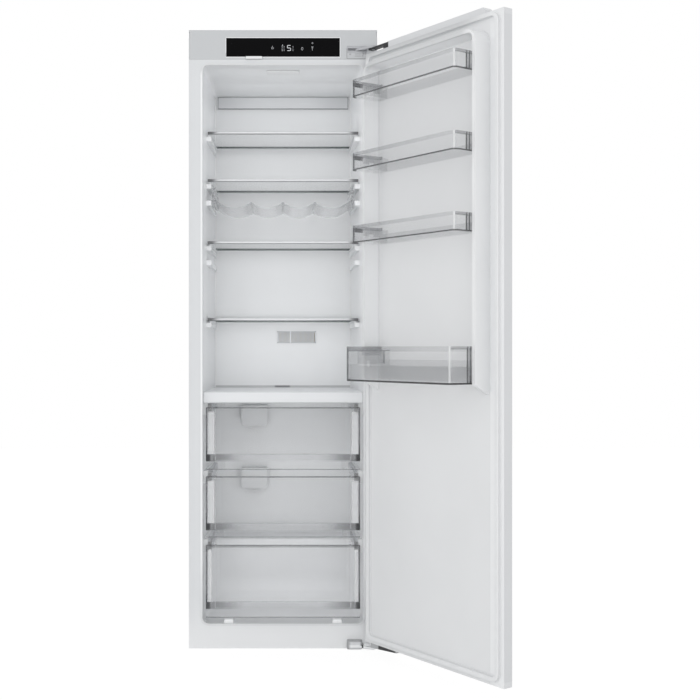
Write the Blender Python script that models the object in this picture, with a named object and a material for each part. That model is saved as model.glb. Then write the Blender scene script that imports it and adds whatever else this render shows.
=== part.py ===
"""Built-in larder refrigerator with its right-hand door standing open.

The frame has +X to the right, +Y to the back and +Z up, in metres. The origin is the centre of the base.
Depths named "deep" are measured from the cabinet's front plane towards the back. On the door, "across" runs
from the hinge edge to the free edge and "proud" from the sealing plane towards the cabinet.
"""

import math

import bmesh
import bpy
from mathutils import Matrix, Vector

# Fits and sheets
FIT = 0.0003
RUNNING_FIT = 0.0005
OVERRUN = 0.004
SHEET = 0.001
PLASTIC = 0.002
ARC_STEPS = 4
ROUND_STEPS = 24

# Cabinet
CABINET_WIDTH = 0.540
CABINET_HEIGHT = 1.772
CASE_DEPTH = 0.508
COIL_ROOM = 0.037
TRAY_SHEET = 0.002
TRAY_LIP = 0.020
SIDE_WALL = 0.039
HEAD_HEIGHT = 0.100
REAR_WALL = 0.118
OPENING_BOTTOM = 0.071
OPENING_RADIUS = 0.018
LINER_TAPER = 0.0123
LINER_REAR_DROP = 0.005
LINER_REAR_RADIUS = 0.010
LINER_WALL = 0.0016
LINER_LIP_WIDTH = 0.0035
LINER_LIP_PROUD = 0.0015
NICHE_HEIGHT = 0.225
NICHE_DEPTH = 0.203
NICHE_COVER = 0.045
FLOOR_PEG_SIZE = 0.010
FLOOR_PEG_HEIGHT = 0.006
FLOOR_PEG_INSET = 0.074
FLOOR_PEG_DEEP = 0.030

# Back cover and the duct behind it
COVER_FLANGE = 0.003
DUCT_BOTTOM = 0.780
DUCT_DEPTH = 0.050
OUTLET_INSET = 0.0185
OUTLET_HEIGHT = 0.022
STRIP_INSET = 0.0102
STRIP_HEIGHT = 0.038
STRIP_DROP = 0.006
STRIP_THICK = 0.006
STRIP_SLOTS = 9
STRIP_SLOT_SHARE = 0.8
GRILLE_WIDTH = 0.125
GRILLE_HEIGHT = 0.038
GRILLE_CENTRE_X = 0.0435
GRILLE_CENTRE_Z = 0.896
GRILLE_THICK = 0.003
GRILLE_BORDER = 0.004
GRILLE_SLATS = 5
GRILLE_SLAT = 0.0022
GRILLE_DIVIDER = 0.004
GRILLE_DIVIDER_SHARE = 0.34
FAN_DROP = 0.112
FAN_RADIUS = 0.046
FAN_HUB_RADIUS = 0.015
FAN_DEPTH = 0.014
FAN_DISC = 0.0015
FAN_BLADES = 9
FAN_BLADE = 0.0016
FAN_WALL_GAP = 0.006
MOTOR_RADIUS = 0.019
MOTOR_SHAFT_RADIUS = 0.003
MOTOR_FLANGE = 0.003
MOTOR_FLANGE_WIDTH = 0.090
EVAPORATOR_WIDTH = 0.320
EVAPORATOR_HEIGHT = 0.240
EVAPORATOR_BOTTOM = 0.960
EVAPORATOR_FINS = 13
EVAPORATOR_FIN = 0.0014
EVAPORATOR_TUBES = 4
EVAPORATOR_TUBE = 0.008

# Air cowls of the drawer zone
COWL_WIDTH = 0.084
COWL_HEIGHT = 0.064
COWL_PROUD = 0.036
COWL_RADIUS = 0.016
COWL_CENTRE_X = -0.091
COWL_WALL = 0.0018

# Fascia and controls
FASCIA_HEIGHT = 0.084
FASCIA_DEPTH = 0.034
FASCIA_WALL = 0.0025
SIDE_NOTCH_DROP = 0.006
SIDE_NOTCH_HEIGHT = 0.017
SIDE_NOTCH_WIDTH = 0.003
SIDE_NOTCH_DEPTH = 0.010
PANEL_INSET = 0.1075
PANEL_HEIGHT = 0.053
PANEL_DROP = 0.023
PANEL_THICK = 0.004
PANEL_PROUD = 0.0006
SWITCH_LEFT = -0.106
SWITCH_WIDTH = 0.046
SWITCH_HEIGHT = 0.0066
SWITCH_PROUD = 0.007
SWITCH_LENGTH = 0.026
SWITCH_STROKE = 0.004
SWITCH_COLLAR = 0.002
LIGHT_WIDTH = 0.090
LIGHT_LENGTH = 0.040
LIGHT_THICK = 0.006
LIGHT_FLANGE = 0.003
LIGHT_DEEP = 0.060

# Shelves, placed by shares of the room over the divider
SHELF_SHARES = (0.816, 0.66613, 0.46987, 0.22667)
SPARE_RIB_SHARE = 0.4128
SHELF_FRONT_DEEP = 0.105
SHELF_REAR_GAP = 0.026
SHELF_SIDE_GAP = 0.0007
SHELF_FRONT_OVERHANG = 0.005
GLASS_THICK = 0.004
TRIM_FRONT = 0.012
TRIM_REAR = 0.012
TRIM_SIDE = 0.008
TRIM_HEIGHT = 0.010
TRIM_DROP = 0.006
TRIM_FRONT_RISE = 0.0025
TRIM_REAR_RISE = 0.0045
RIB_HEIGHT = 0.014
RIB_PROUD = 0.0057
RIB_REAR_GAP = 0.011

# Bottle rack
BOTTLE_RACK_SHARE = 0.60213
BOTTLE_RACK_REAR_GAP = 0.009
BOTTLE_RACK_SIDE_REACH = 0.001
BOTTLE_RACK_LAND = 0.036
BOTTLE_RACK_SHEET = 0.0024
BOTTLE_LOBES = 4
BOTTLE_LOBE_DROP = 0.053
BOTTLE_LOBE_STEPS = 8

# Divider shelf
DIVIDER_TOP = 0.7345
DIVIDER_LIP_HEIGHT = 0.033
DIVIDER_LIP_THICK = 0.010
DIVIDER_PLATE = 0.008
DIVIDER_DEEP = 0.019
DIVIDER_REAR_GAP = 0.003
DIVIDER_NOTCH_WIDTH = 0.048
DIVIDER_NOTCH_DEPTH = 0.010
DIVIDER_CLEARANCE = 0.0008

# Drawers and rails, placed by shares of the room under the divider
DRAWER_TOP_SHARES = (0.98176, 0.66614, 0.35210)
DRAWER_HEIGHT_SHARES = (0.24584, 0.24584, 0.29183)
DRAWER_SKIRT_SHARES = (0.04045, 0.0341, 0.04124)
DRAWER_FRONT_DEEP = 0.019
DRAWER_COWL_GAP = 0.007
DRAWER_HUMP_GAP = 0.003
DRAWER_FRONT_INSET = 0.0085
DRAWER_FRONT_THICK = 0.0035
DRAWER_TUB_INSET = 0.0205
DRAWER_WALL = 0.0025
DRAWER_CORNER = 0.014
DRAWER_REAR_DROP = 0.016
DRAWER_GRIP_REACH = 0.008
DRAWER_GRIP_THICK = 0.003
DRAWER_GRIP_DROP = 0.0074
DRAWER_FLANGE = 0.0025
NOTCH_CLEARANCE = 0.004
RAIL_LAND_PROUD = 0.0012
RAIL_HEIGHT = 0.024
RAIL_DROP = 0.016
RAIL_WIDTH = 0.0078
RAIL_SHEET = 0.0012
RAIL_RETURN = 0.004
RAIL_START = 0.026
RAIL_MARGIN = 0.012
SLIDE_PLATE = 0.002
SLIDE_NECK = 0.0012
LAND_MARGIN = 0.006

# Refrigeration at the back
COMPRESSOR_RADIUS = 0.078
COMPRESSOR_HEIGHT = 0.150
COMPRESSOR_DOME = 0.045
COMPRESSOR_BASE_SHARE = 0.8
COMPRESSOR_FOOT = 0.012
COMPRESSOR_FOOT_WIDTH = 0.190
COMPRESSOR_FOOT_LENGTH = 0.120
COMPRESSOR_X = 0.110
COMPRESSOR_INSET = 0.103
STUB_RADIUS = 0.0045
STUB_LENGTH = 0.020
STUB_HEIGHT = 0.100
DRIP_TRAY_RADIUS = 0.068
DRIP_TRAY_HEIGHT = 0.022
DRIP_TRAY_WALL = 0.0018
DRIP_TRAY_FOOT_SHARE = 0.9
COIL_TUBE = 0.0026
COIL_PASSES = 14
COIL_INSET = 0.055
COIL_BOTTOM = 0.330
COIL_SPACING = 0.078
COIL_BEND = 0.018
COIL_STANDOFF = 0.022
COIL_BEND_STEPS = 4
CLIP_WIDTH = 0.012
CLIP_HEIGHT = 0.016
CLIP_ROWS = 4
CLIP_INSET = 0.045
DRIER_RADIUS = 0.010
DRIER_LENGTH = 0.110
DRIER_NECK = 0.012
DRIER_NECK_SHARE = 1.2
DRIER_INSET = 0.025
DRIER_BOTTOM = 0.140

# Door, closed size and position
DOOR_BOTTOM = 0.028
DOOR_DROP = 0.078
DOOR_THICK = 0.029
DOOR_GAP = 0.010
DOOR_OPEN_DEGREES = 124.25
HINGE_INSET = 0.013
HINGE_BACK = 0.018
CAP_HEIGHT = 0.015
CAP_RISE = 0.017
CAP_NOTCH_HINGE = 0.098
CAP_NOTCH_FREE = 0.064
DOOR_LINER_WALL = 0.0015
DIKE_INSET = 0.046
DIKE_DROP = 0.042
DIKE_BOTTOM = 0.744
DIKE_RAMP = 0.026
DIKE_PROUD = 0.050
DIKE_RIM = 0.010
DIKE_DRAFT = 0.002
DIKE_FOOT_RADIUS = 0.004
DIKE_RADIUS = 0.034
DIKE_FLOOR_RADIUS = 0.016
GASKET_INSET = 0.0095
GASKET_TOP_INSET = 0.0055
GASKET_WIDTH = 0.015
GASKET_TOP_SHARE = 0.70
GASKET_PROUD = 0.0094
GASKET_RADIUS = 0.008
GASKET_WAIST = 0.003
GASKET_CREST = 0.003
GASKET_FOOT_SHARE = 0.25
GASKET_WAIST_SHARE = 0.5
GASKET_SHOULDER_SHARE = 0.8

# Door racks, placed by shares of the dike's height
RACK_BOTTOM_SHARES = (0.88436, 0.66355, 0.44493, 0.02974)
RACK_HEIGHTS = (0.047, 0.047, 0.047, 0.094)
RACK_REACHES = (0.103, 0.103, 0.103, 0.121)
RACK_SIDE_GAPS = (0.005, 0.005, 0.005, 0.0015)
RACK_BACK_GAP = 0.002
RACK_WALL = 0.0022
RACK_CORNER = 0.012
RACK_RIM = 0.0025
RACK_RIM_HEIGHT = 0.005
RACK_BACK_SHARE = 0.62
RACK_SEAT_SHARE = 0.60
BOSS_PROUD = 0.026
BOSS_WIDTH = 0.014
BOSS_REACH = 0.0096
BOSS_HEIGHT = 0.018
RACK_CELL_LENGTH = 0.036
RACK_CELL_SHARE = 0.80
INSERT_SHEET = 0.0018
INSERT_END_GAP = 0.008
INSERT_FRONT_GAP = 0.0012
INSERT_TALL_LENGTH = 0.042
INSERT_TALL = 0.082
INSERT_SHORT = 0.040

# Hinges
PIN_RADIUS = 0.004
KNUCKLE_RADIUS = 0.0065
LEAF_THICK = 0.005
LEAF_BLOCK_LENGTH = 0.026
LEAF_WEDGE_TIP = 0.008
LEAF_LENGTH_TOP = 0.094
LEAF_LENGTH_BOTTOM = 0.124
LEAF_BACK = 0.026
LEAF_FRONT = 0.009
KNUCKLE_TOP_HEIGHT = 0.0184
KNUCKLE_BOTTOM_HEIGHT = 0.0165
ARM_TOP_THICK = 0.006
ARM_BOTTOM_THICK = 0.004
BRACKET_PANEL_GAP = 0.0205
BRACKET_INSET = 0.030
BRACKET_DROP = 0.046
BRACKET_HEIGHT = 0.028
GROOVE_DEPTH = 0.010
GROOVE_MARGIN = 0.001
ARM_ROOT = 0.003
ARM_HALF_WIDTH = 0.008
TOP_ARM_INSET = 0.028
BOTTOM_ARM_PROUD = 0.0085
HOUSING_INSET = 0.045
HOUSING_LENGTH = 0.042
HOUSING_TOP = 0.026
HOUSING_BOTTOM = 0.0005
HOUSING_PROUD = 0.013
HOUSING_RADIUS = 0.006
HOUSING_ROOT = 0.004
HINGE_COVER_GAP = 0.0046
HINGE_COVER_INSET = 0.0095
HINGE_COVER_TOP = 0.0170
HINGE_COVER_PROUD = 0.0165

# Widths and depths worked out from the sizes above
CABINET_DEPTH = CASE_DEPTH + COIL_ROOM
FRONT_Y = -CABINET_DEPTH / 2
HALF_CABINET = CABINET_WIDTH / 2
OPENING_WIDTH = CABINET_WIDTH - 2 * SIDE_WALL
LINER_REAR_WIDTH = OPENING_WIDTH - 2 * LINER_TAPER
LINER_DEPTH = CASE_DEPTH - REAR_WALL
NICHE_START = CASE_DEPTH - NICHE_DEPTH
COMPRESSOR_DEEP = CASE_DEPTH - COMPRESSOR_INSET
STRIP_WIDTH = LINER_REAR_WIDTH - 2 * STRIP_INSET
OUTLET_WIDTH = STRIP_WIDTH - 2 * OUTLET_INSET
PANEL_WIDTH = CABINET_WIDTH - 2 * PANEL_INSET
SHELF_LENGTH = LINER_DEPTH - SHELF_FRONT_DEEP - SHELF_REAR_GAP
SHELF_WIDTH = LINER_REAR_WIDTH - 2 * SHELF_SIDE_GAP
SHELF_FRONT_WIDTH = SHELF_WIDTH + 2 * SHELF_FRONT_OVERHANG
RIB_INNER_WIDTH = LINER_REAR_WIDTH - 2 * RIB_PROUD
RIB_REACH = LINER_DEPTH - SHELF_FRONT_DEEP - TRIM_FRONT - RIB_REAR_GAP
BOTTLE_RACK_LENGTH = SHELF_LENGTH - BOTTLE_RACK_REAR_GAP
BOTTLE_RACK_WIDTH = SHELF_WIDTH + 2 * BOTTLE_RACK_SIDE_REACH
BOTTLE_LOBE_LENGTH = (BOTTLE_RACK_WIDTH - 2 * BOTTLE_RACK_LAND) / BOTTLE_LOBES
DIVIDER_LENGTH = LINER_DEPTH - DIVIDER_DEEP - DIVIDER_REAR_GAP
LONG_DRAWER = LINER_DEPTH - COWL_PROUD - DRAWER_COWL_GAP - DRAWER_FRONT_DEEP
SHORT_DRAWER = NICHE_START - NICHE_COVER - DRAWER_HUMP_GAP - DRAWER_FRONT_DEEP
DRAWER_LENGTHS = (LONG_DRAWER, LONG_DRAWER, SHORT_DRAWER)
DRAWER_FRONT_WIDTH = OPENING_WIDTH - 2 * DRAWER_FRONT_INSET
RAIL_LAND_WIDTH = LINER_REAR_WIDTH - 2 * RAIL_LAND_PROUD
DRAWER_TUB_WIDTH = RAIL_LAND_WIDTH - 2 * DRAWER_TUB_INSET
FLOOR_PEG_SPREAD = OPENING_WIDTH - 2 * FLOOR_PEG_INSET
COIL_HALF_WIDTH = HALF_CABINET - COIL_INSET
CLIP_SPREAD = 2 * (COIL_HALF_WIDTH - CLIP_INSET)
DRIER_X = DRIER_INSET - COIL_HALF_WIDTH
DOOR_WIDTH = CABINET_WIDTH
HALF_DOOR = DOOR_WIDTH / 2
SEAL_Y = FRONT_Y - DOOR_GAP
HINGE_X = HALF_DOOR - HINGE_INSET
HINGE_Y = SEAL_Y - HINGE_BACK
BRACKET_LEFT = PANEL_WIDTH / 2 + BRACKET_PANEL_GAP
BRACKET_RIGHT = HALF_CABINET - BRACKET_INSET
HOUSING_RIGHT = HALF_CABINET - HOUSING_INSET
HOUSING_LEFT = HOUSING_RIGHT - HOUSING_LENGTH
HINGE_COVER_LEFT = HOUSING_RIGHT + HINGE_COVER_GAP
HINGE_COVER_RIGHT = HALF_CABINET - HINGE_COVER_INSET

# Heights worked out from the sizes above
OPENING_TOP = CABINET_HEIGHT - HEAD_HEIGHT
HUMP_TOP = NICHE_HEIGHT + NICHE_COVER
STRIP_TOP = OPENING_TOP - STRIP_DROP
FAN_CENTRE_Z = OPENING_TOP - FAN_DROP
FASCIA_BOTTOM = CABINET_HEIGHT - FASCIA_HEIGHT
SIDE_NOTCH_TOP = CABINET_HEIGHT - SIDE_NOTCH_DROP
SIDE_NOTCH_BOTTOM = SIDE_NOTCH_TOP - SIDE_NOTCH_HEIGHT
PANEL_TOP = CABINET_HEIGHT - PANEL_DROP
SHELF_ROOM = OPENING_TOP - DIVIDER_TOP
SHELF_TOPS = tuple(DIVIDER_TOP + SHELF_ROOM * share for share in SHELF_SHARES)
SPARE_RIB_TOP = DIVIDER_TOP + SHELF_ROOM * SPARE_RIB_SHARE
BOTTLE_RACK_TOP = DIVIDER_TOP + SHELF_ROOM * BOTTLE_RACK_SHARE
DRAWER_ROOM = DIVIDER_TOP - DIVIDER_LIP_HEIGHT - OPENING_BOTTOM
DRAWER_TOPS = tuple(OPENING_BOTTOM + DRAWER_ROOM * share for share in DRAWER_TOP_SHARES)
DRAWER_HEIGHTS = tuple(DRAWER_ROOM * share for share in DRAWER_HEIGHT_SHARES)
DRAWER_SKIRTS = tuple(DRAWER_ROOM * share for share in DRAWER_SKIRT_SHARES)
DOOR_TOP = CABINET_HEIGHT - DOOR_DROP
DIKE_TOP = DOOR_TOP - DIKE_DROP
RACK_BOTTOMS = tuple(DIKE_BOTTOM + (DIKE_TOP - DIKE_BOTTOM) * share for share in RACK_BOTTOM_SHARES)
BRACKET_TOP_Z = CABINET_HEIGHT - BRACKET_DROP
BRACKET_BOTTOM_Z = BRACKET_TOP_Z - BRACKET_HEIGHT

# Colours, and pairs of roughness and metallic
WHITE = (0.80, 0.81, 0.83)
CLEAR = (0.72, 0.75, 0.79)
GREY = (0.45, 0.46, 0.48)
DARK = (0.05, 0.05, 0.055)
STEEL = (0.62, 0.63, 0.65)
COPPER = (0.72, 0.42, 0.28)
FOAM = (0.85, 0.80, 0.62)
BLACK_PAINT = (0.02, 0.02, 0.022)
SILVER = (0.70, 0.71, 0.73)
GLASS = (0.78, 0.86, 0.84)
LENS = (0.95, 0.95, 0.92)
GLOSS = (0.15, 0.0)
SATIN = (0.35, 0.0)
MATT = (0.9, 0.0)
PAINTED = (0.45, 0.3)
METAL = (0.35, 0.9)


def clear_scene():
    """Remove every object that the start-up file brought."""
    for item in list(bpy.data.objects):
        bpy.data.objects.remove(item, do_unlink=True)


def deep(distance):
    """Y of a point this far behind the front plane."""
    return FRONT_Y + distance


def new_object(name, builder):
    """An object in the scene from a filled bmesh."""
    bmesh.ops.recalc_face_normals(builder, faces=builder.faces[:])
    mesh = bpy.data.meshes.new(name)
    builder.to_mesh(mesh)
    builder.free()
    item = bpy.data.objects.new(name, mesh)
    bpy.context.scene.collection.objects.link(item)
    return item


def loft(name, rings, closed=False):
    """A closed solid through rings of equal count; a closed loft joins its last ring to its first."""
    builder = bmesh.new()
    rows = [[builder.verts.new(point) for point in ring] for ring in rings]
    pairs = list(zip(rows, rows[1:]))
    if closed:
        pairs.append((rows[-1], rows[0]))
    count = len(rows[0])
    for lower, upper in pairs:
        for index in range(count):
            after = (index + 1) % count
            builder.faces.new((lower[index], lower[after], upper[after], upper[index]))
    if not closed:
        builder.faces.new(rows[0])
        builder.faces.new(rows[-1])
    return new_object(name, builder)


def box(name, x_range, y_range, z_range):
    """A rectangular block between three pairs of coordinates."""
    corners = ((0, 0), (1, 0), (1, 1), (0, 1))
    rings = [[(x_range[i], y_range[j], z) for i, j in corners] for z in z_range]
    return loft(name, rings)


def prism_x(name, outline, x_range):
    """An outline of (y, z) points carried along X."""
    return loft(name, [[(x, y, z) for y, z in outline] for x in x_range])


def prism_y(name, outline, y_range):
    """An outline of (x, z) points carried along Y."""
    return loft(name, [[(x, y, z) for x, z in outline] for y in y_range])


def prism_z(name, outline, z_range):
    """An outline of (x, y) points carried along Z."""
    return loft(name, [[(x, y, z) for x, y in outline] for z in z_range])


def circle(centre, radius, count=ROUND_STEPS):
    """Points round a circle in a plane."""
    turns = [2 * math.pi * index / count for index in range(count)]
    return [(centre[0] + radius * math.cos(turn), centre[1] + radius * math.sin(turn)) for turn in turns]


def rounded_outline(low, high, radii):
    """A rectangle with arcs at its corners, from the low-low corner round; radii has one value for each."""
    corners = ((low[0], low[1]), (high[0], low[1]), (high[0], high[1]), (low[0], high[1]))
    inwards = ((1, 1), (-1, 1), (-1, -1), (1, -1))
    points = []
    for index, (corner, inward) in enumerate(zip(corners, inwards)):
        radius = radii[index]
        centre = (corner[0] + inward[0] * radius, corner[1] + inward[1] * radius)
        start = math.pi + index * math.pi / 2
        for step in range(ARC_STEPS + 1):
            turn = start + step * math.pi / 2 / ARC_STEPS
            points.append((centre[0] + radius * math.cos(turn), centre[1] + radius * math.sin(turn)))
    return points


def turned(name, profile, centre, count=ROUND_STEPS):
    """A profile of (radius, z) points turned round a vertical axis; both ends lie on the axis."""
    builder = bmesh.new()
    foot = builder.verts.new((centre[0], centre[1], profile[0][1]))
    head = builder.verts.new((centre[0], centre[1], profile[-1][1]))
    rows = []
    for radius, height in profile[1:-1]:
        rows.append([builder.verts.new((x, y, height)) for x, y in circle(centre, radius, count)])
    for index in range(count):
        after = (index + 1) % count
        builder.faces.new((foot, rows[0][after], rows[0][index]))
        builder.faces.new((head, rows[-1][index], rows[-1][after]))
        for lower, upper in zip(rows, rows[1:]):
            builder.faces.new((lower[index], lower[after], upper[after], upper[index]))
    return new_object(name, builder)


def grouped(name, items):
    """Separate shapes gathered into one mesh, for use as a single tool."""
    builder = bmesh.new()
    for item in items:
        builder.from_mesh(item.data)
        bpy.data.objects.remove(item, do_unlink=True)
    return new_object(name, builder)


def combined(target, tool, operation):
    """The target after a Boolean with the tool, which is used up."""
    step = target.modifiers.new("combine", "BOOLEAN")
    step.operation = operation
    step.solver = "EXACT"
    step.object = tool
    graph = bpy.context.evaluated_depsgraph_get()
    result = bpy.data.meshes.new_from_object(target.evaluated_get(graph))
    target.modifiers.remove(step)
    target.data = result
    bpy.data.objects.remove(tool, do_unlink=True)
    return target


def cut(target, tool):
    """The target less the tool."""
    return combined(target, tool, "DIFFERENCE")


def joined(target, tool):
    """The target fused with the tool."""
    return combined(target, tool, "UNION")


def common(target, tool):
    """The space that the target and the tool share."""
    return combined(target, tool, "INTERSECT")


def moved(item, shift):
    """The object's points shifted, with its origin left where it is."""
    item.data.transform(Matrix.Translation(Vector(shift)))
    return item


def finished(item, name, colour, finish, smooth=False):
    """Name the object and give it a material of its own; a finish is its roughness and metallic."""
    item.name = name
    item.data.name = name
    material = bpy.data.materials.new(name)
    material.use_nodes = True
    shader = material.node_tree.nodes["Principled BSDF"]
    shader.inputs["Base Color"].default_value = (*colour, 1.0)
    shader.inputs["Roughness"].default_value = finish[0]
    shader.inputs["Metallic"].default_value = finish[1]
    item.data.materials.clear()
    item.data.materials.append(material)
    if smooth:
        item.data.shade_smooth()
        item.data.set_sharp_from_angle(angle=math.radians(35))
    return item


def pivot(name, location, parent=None, turn=0.0):
    """An empty on a joint's axis."""
    empty = bpy.data.objects.new(name, None)
    empty.location = location
    empty.rotation_euler = (0, 0, turn)
    empty.parent = parent
    bpy.context.scene.collection.objects.link(empty)
    return empty


def hung(item, empty, origin):
    """Carry the object by an empty: its points are first taken relative to the empty's closed place."""
    moved(item, (-origin[0], -origin[1], -origin[2]))
    item.parent = empty
    return item


# Cabinet


def liner_space(name, offset, front_overrun):
    """The inside of the liner grown by an offset, running out through the front by an overrun."""
    def ring(share, distance):
        half = OPENING_WIDTH / 2 + (LINER_REAR_WIDTH - OPENING_WIDTH) / 2 * share + offset
        top = OPENING_TOP - LINER_REAR_DROP * share + offset
        bottom = OPENING_BOTTOM - offset
        radius = OPENING_RADIUS + (LINER_REAR_RADIUS - OPENING_RADIUS) * share + offset
        outline = rounded_outline((-half, bottom), (half, top), (radius,) * 4)
        return [(x, deep(distance), z) for x, z in outline]

    rings = [ring(0, -front_overrun), ring(0, 0), ring(1, LINER_DEPTH + offset)]
    if front_overrun == 0:
        rings = rings[1:]
    space = loft(name, rings)
    hump = box(
        "hump",
        (-HALF_CABINET, HALF_CABINET),
        (deep(NICHE_START - NICHE_COVER + offset), deep(CABINET_DEPTH)),
        (-OVERRUN, HUMP_TOP - offset),
    )
    return cut(space, hump)


def wall_half_width(distance):
    """Half the liner's inner width at a depth."""
    share = distance / LINER_DEPTH
    return OPENING_WIDTH / 2 + (LINER_REAR_WIDTH - OPENING_WIDTH) / 2 * share


def side_notches():
    """Fixing notches in both front edges of the cabinet's head."""
    notches = []
    for side in (-1, 1):
        near, far = sorted((side * (HALF_CABINET - SIDE_NOTCH_WIDTH), side * (HALF_CABINET + OVERRUN)))
        notches.append(
            box(
                "notch",
                (near, far),
                (deep(-OVERRUN), deep(SIDE_NOTCH_DEPTH)),
                (SIDE_NOTCH_BOTTOM, SIDE_NOTCH_TOP),
            )
        )
    return grouped("notches", notches)


def outer_case():
    """White steel wrapper: sides, top and front frame from folded sheet, open behind and below."""
    case = box(
        "case", (-HALF_CABINET, HALF_CABINET), (deep(0), deep(CASE_DEPTH)), (0, CABINET_HEIGHT)
    )
    inside = box(
        "inside",
        (-HALF_CABINET + SHEET, HALF_CABINET - SHEET),
        (deep(SHEET), deep(CASE_DEPTH + OVERRUN)),
        (-OVERRUN, CABINET_HEIGHT - SHEET),
    )
    cut(case, inside)
    mouth = LINER_WALL + FIT
    outline = rounded_outline(
        (-OPENING_WIDTH / 2 - mouth, OPENING_BOTTOM - mouth),
        (OPENING_WIDTH / 2 + mouth, OPENING_TOP + mouth),
        (OPENING_RADIUS + mouth,) * 4,
    )
    cut(case, prism_y("window", outline, (deep(-OVERRUN), deep(SHEET + OVERRUN))))
    fascia_place = box(
        "fascia place",
        (-HALF_CABINET + SHEET, HALF_CABINET - SHEET),
        (deep(-OVERRUN), deep(SHEET + OVERRUN)),
        (FASCIA_BOTTOM - FIT, CABINET_HEIGHT - SHEET),
    )
    cut(case, fascia_place)
    cut(case, side_notches())
    return finished(case, "outer_case", WHITE, SATIN)


def clip_heights():
    """Heights of the condenser's clips, each beside a straight pass of the tube."""
    step = max(1, (COIL_PASSES - 1) // (CLIP_ROWS - 1))
    return [COIL_BOTTOM + COIL_SPACING * step * row for row in range(CLIP_ROWS)]


def rear_panel():
    """Steel back sheet with stand-off clips for the condenser."""
    low = NICHE_HEIGHT
    panel = box(
        "panel",
        (-HALF_CABINET + SHEET + FIT, HALF_CABINET - SHEET - FIT),
        (deep(CASE_DEPTH - SHEET), deep(CASE_DEPTH)),
        (low, CABINET_HEIGHT - SHEET - FIT),
    )
    near = COIL_STANDOFF - COIL_TUBE - FIT
    clips = []
    for height in clip_heights():
        for side in (-1, 1):
            centre = side * CLIP_SPREAD / 2
            clips.append(
                box(
                    "clip",
                    (centre - CLIP_WIDTH / 2, centre + CLIP_WIDTH / 2),
                    (deep(CASE_DEPTH - SHEET / 2), deep(CASE_DEPTH + near)),
                    (height - CLIP_HEIGHT / 2, height + CLIP_HEIGHT / 2),
                )
            )
    joined(panel, grouped("clips", clips))
    return finished(panel, "rear_panel", GREY, PAINTED)


def base_tray():
    """Galvanised base that carries the foam body in front and the compressor behind, with folded lips."""
    inner_half = HALF_CABINET - SHEET - FIT
    tray = box("tray", (-inner_half, inner_half), (deep(SHEET + FIT), deep(CABINET_DEPTH)), (0, TRAY_SHEET))
    lips = []
    for side in (-1, 1):
        near, far = sorted((side * inner_half, side * (inner_half - TRAY_SHEET)))
        lips.append(
            box(
                "lip",
                (near, far),
                (deep(NICHE_START + TRAY_SHEET), deep(CASE_DEPTH)),
                (TRAY_SHEET / 2, TRAY_LIP),
            )
        )
    lips.append(
        box(
            "lip",
            (-inner_half + TRAY_LIP, inner_half - TRAY_LIP),
            (deep(CABINET_DEPTH - TRAY_SHEET), deep(CABINET_DEPTH)),
            (TRAY_SHEET / 2, TRAY_LIP),
        )
    )
    joined(tray, grouped("lips", lips))
    return finished(tray, "base_tray", STEEL, METAL)


def cabinet_insulation():
    """Foam between the case and the liner, hollow for the liner, the rear duct and the compressor niche."""
    gap = SHEET + FIT
    foam = box(
        "foam",
        (-HALF_CABINET + gap, HALF_CABINET - gap),
        (deep(gap), deep(CASE_DEPTH - gap)),
        (TRAY_SHEET + FIT, CABINET_HEIGHT - gap),
    )
    cut(foam, liner_space("cavity", LINER_WALL + FIT, OVERRUN))
    niche = box(
        "niche",
        (-HALF_CABINET - OVERRUN, HALF_CABINET + OVERRUN),
        (deep(NICHE_START), deep(CABINET_DEPTH + OVERRUN)),
        (-OVERRUN, NICHE_HEIGHT),
    )
    cut(foam, niche)
    room = LINER_WALL + FIT
    duct = box(
        "duct",
        (-LINER_REAR_WIDTH / 2 - room, LINER_REAR_WIDTH / 2 + room),
        (deep(LINER_DEPTH - OVERRUN), deep(LINER_DEPTH + LINER_WALL + DUCT_DEPTH)),
        (DUCT_BOTTOM, OPENING_TOP - LINER_REAR_DROP + room),
    )
    cut(foam, duct)
    head = box(
        "head",
        (-HALF_CABINET - OVERRUN, HALF_CABINET + OVERRUN),
        (deep(-OVERRUN), deep(FASCIA_DEPTH + FIT)),
        (FASCIA_BOTTOM - FIT, CABINET_HEIGHT),
    )
    cut(foam, head)
    light = box(
        "light place",
        (-LIGHT_WIDTH / 2 - FIT, LIGHT_WIDTH / 2 + FIT),
        (deep(LIGHT_DEEP - FIT), deep(LIGHT_DEEP + LIGHT_LENGTH + FIT)),
        (OPENING_TOP - OVERRUN, OPENING_TOP + LIGHT_THICK + FIT),
    )
    cut(foam, light)
    return finished(foam, "cabinet_insulation", FOAM, MATT)


def rib_levels():
    """Heights that the liner's shelf ribs carry, given at the top of each rib."""
    levels = [level - TRIM_HEIGHT - FIT for level in SHELF_TOPS]
    levels.append(BOTTLE_RACK_TOP - FIT)
    levels.append(SPARE_RIB_TOP)
    return levels


def rail_level(index):
    """Height of the underside of a drawer's rails."""
    return DRAWER_TOPS[index] - RAIL_DROP


def rail_length(index):
    """Length of a drawer's rails, which end short of the drawer's back."""
    return DRAWER_LENGTHS[index] - RAIL_MARGIN


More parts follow.
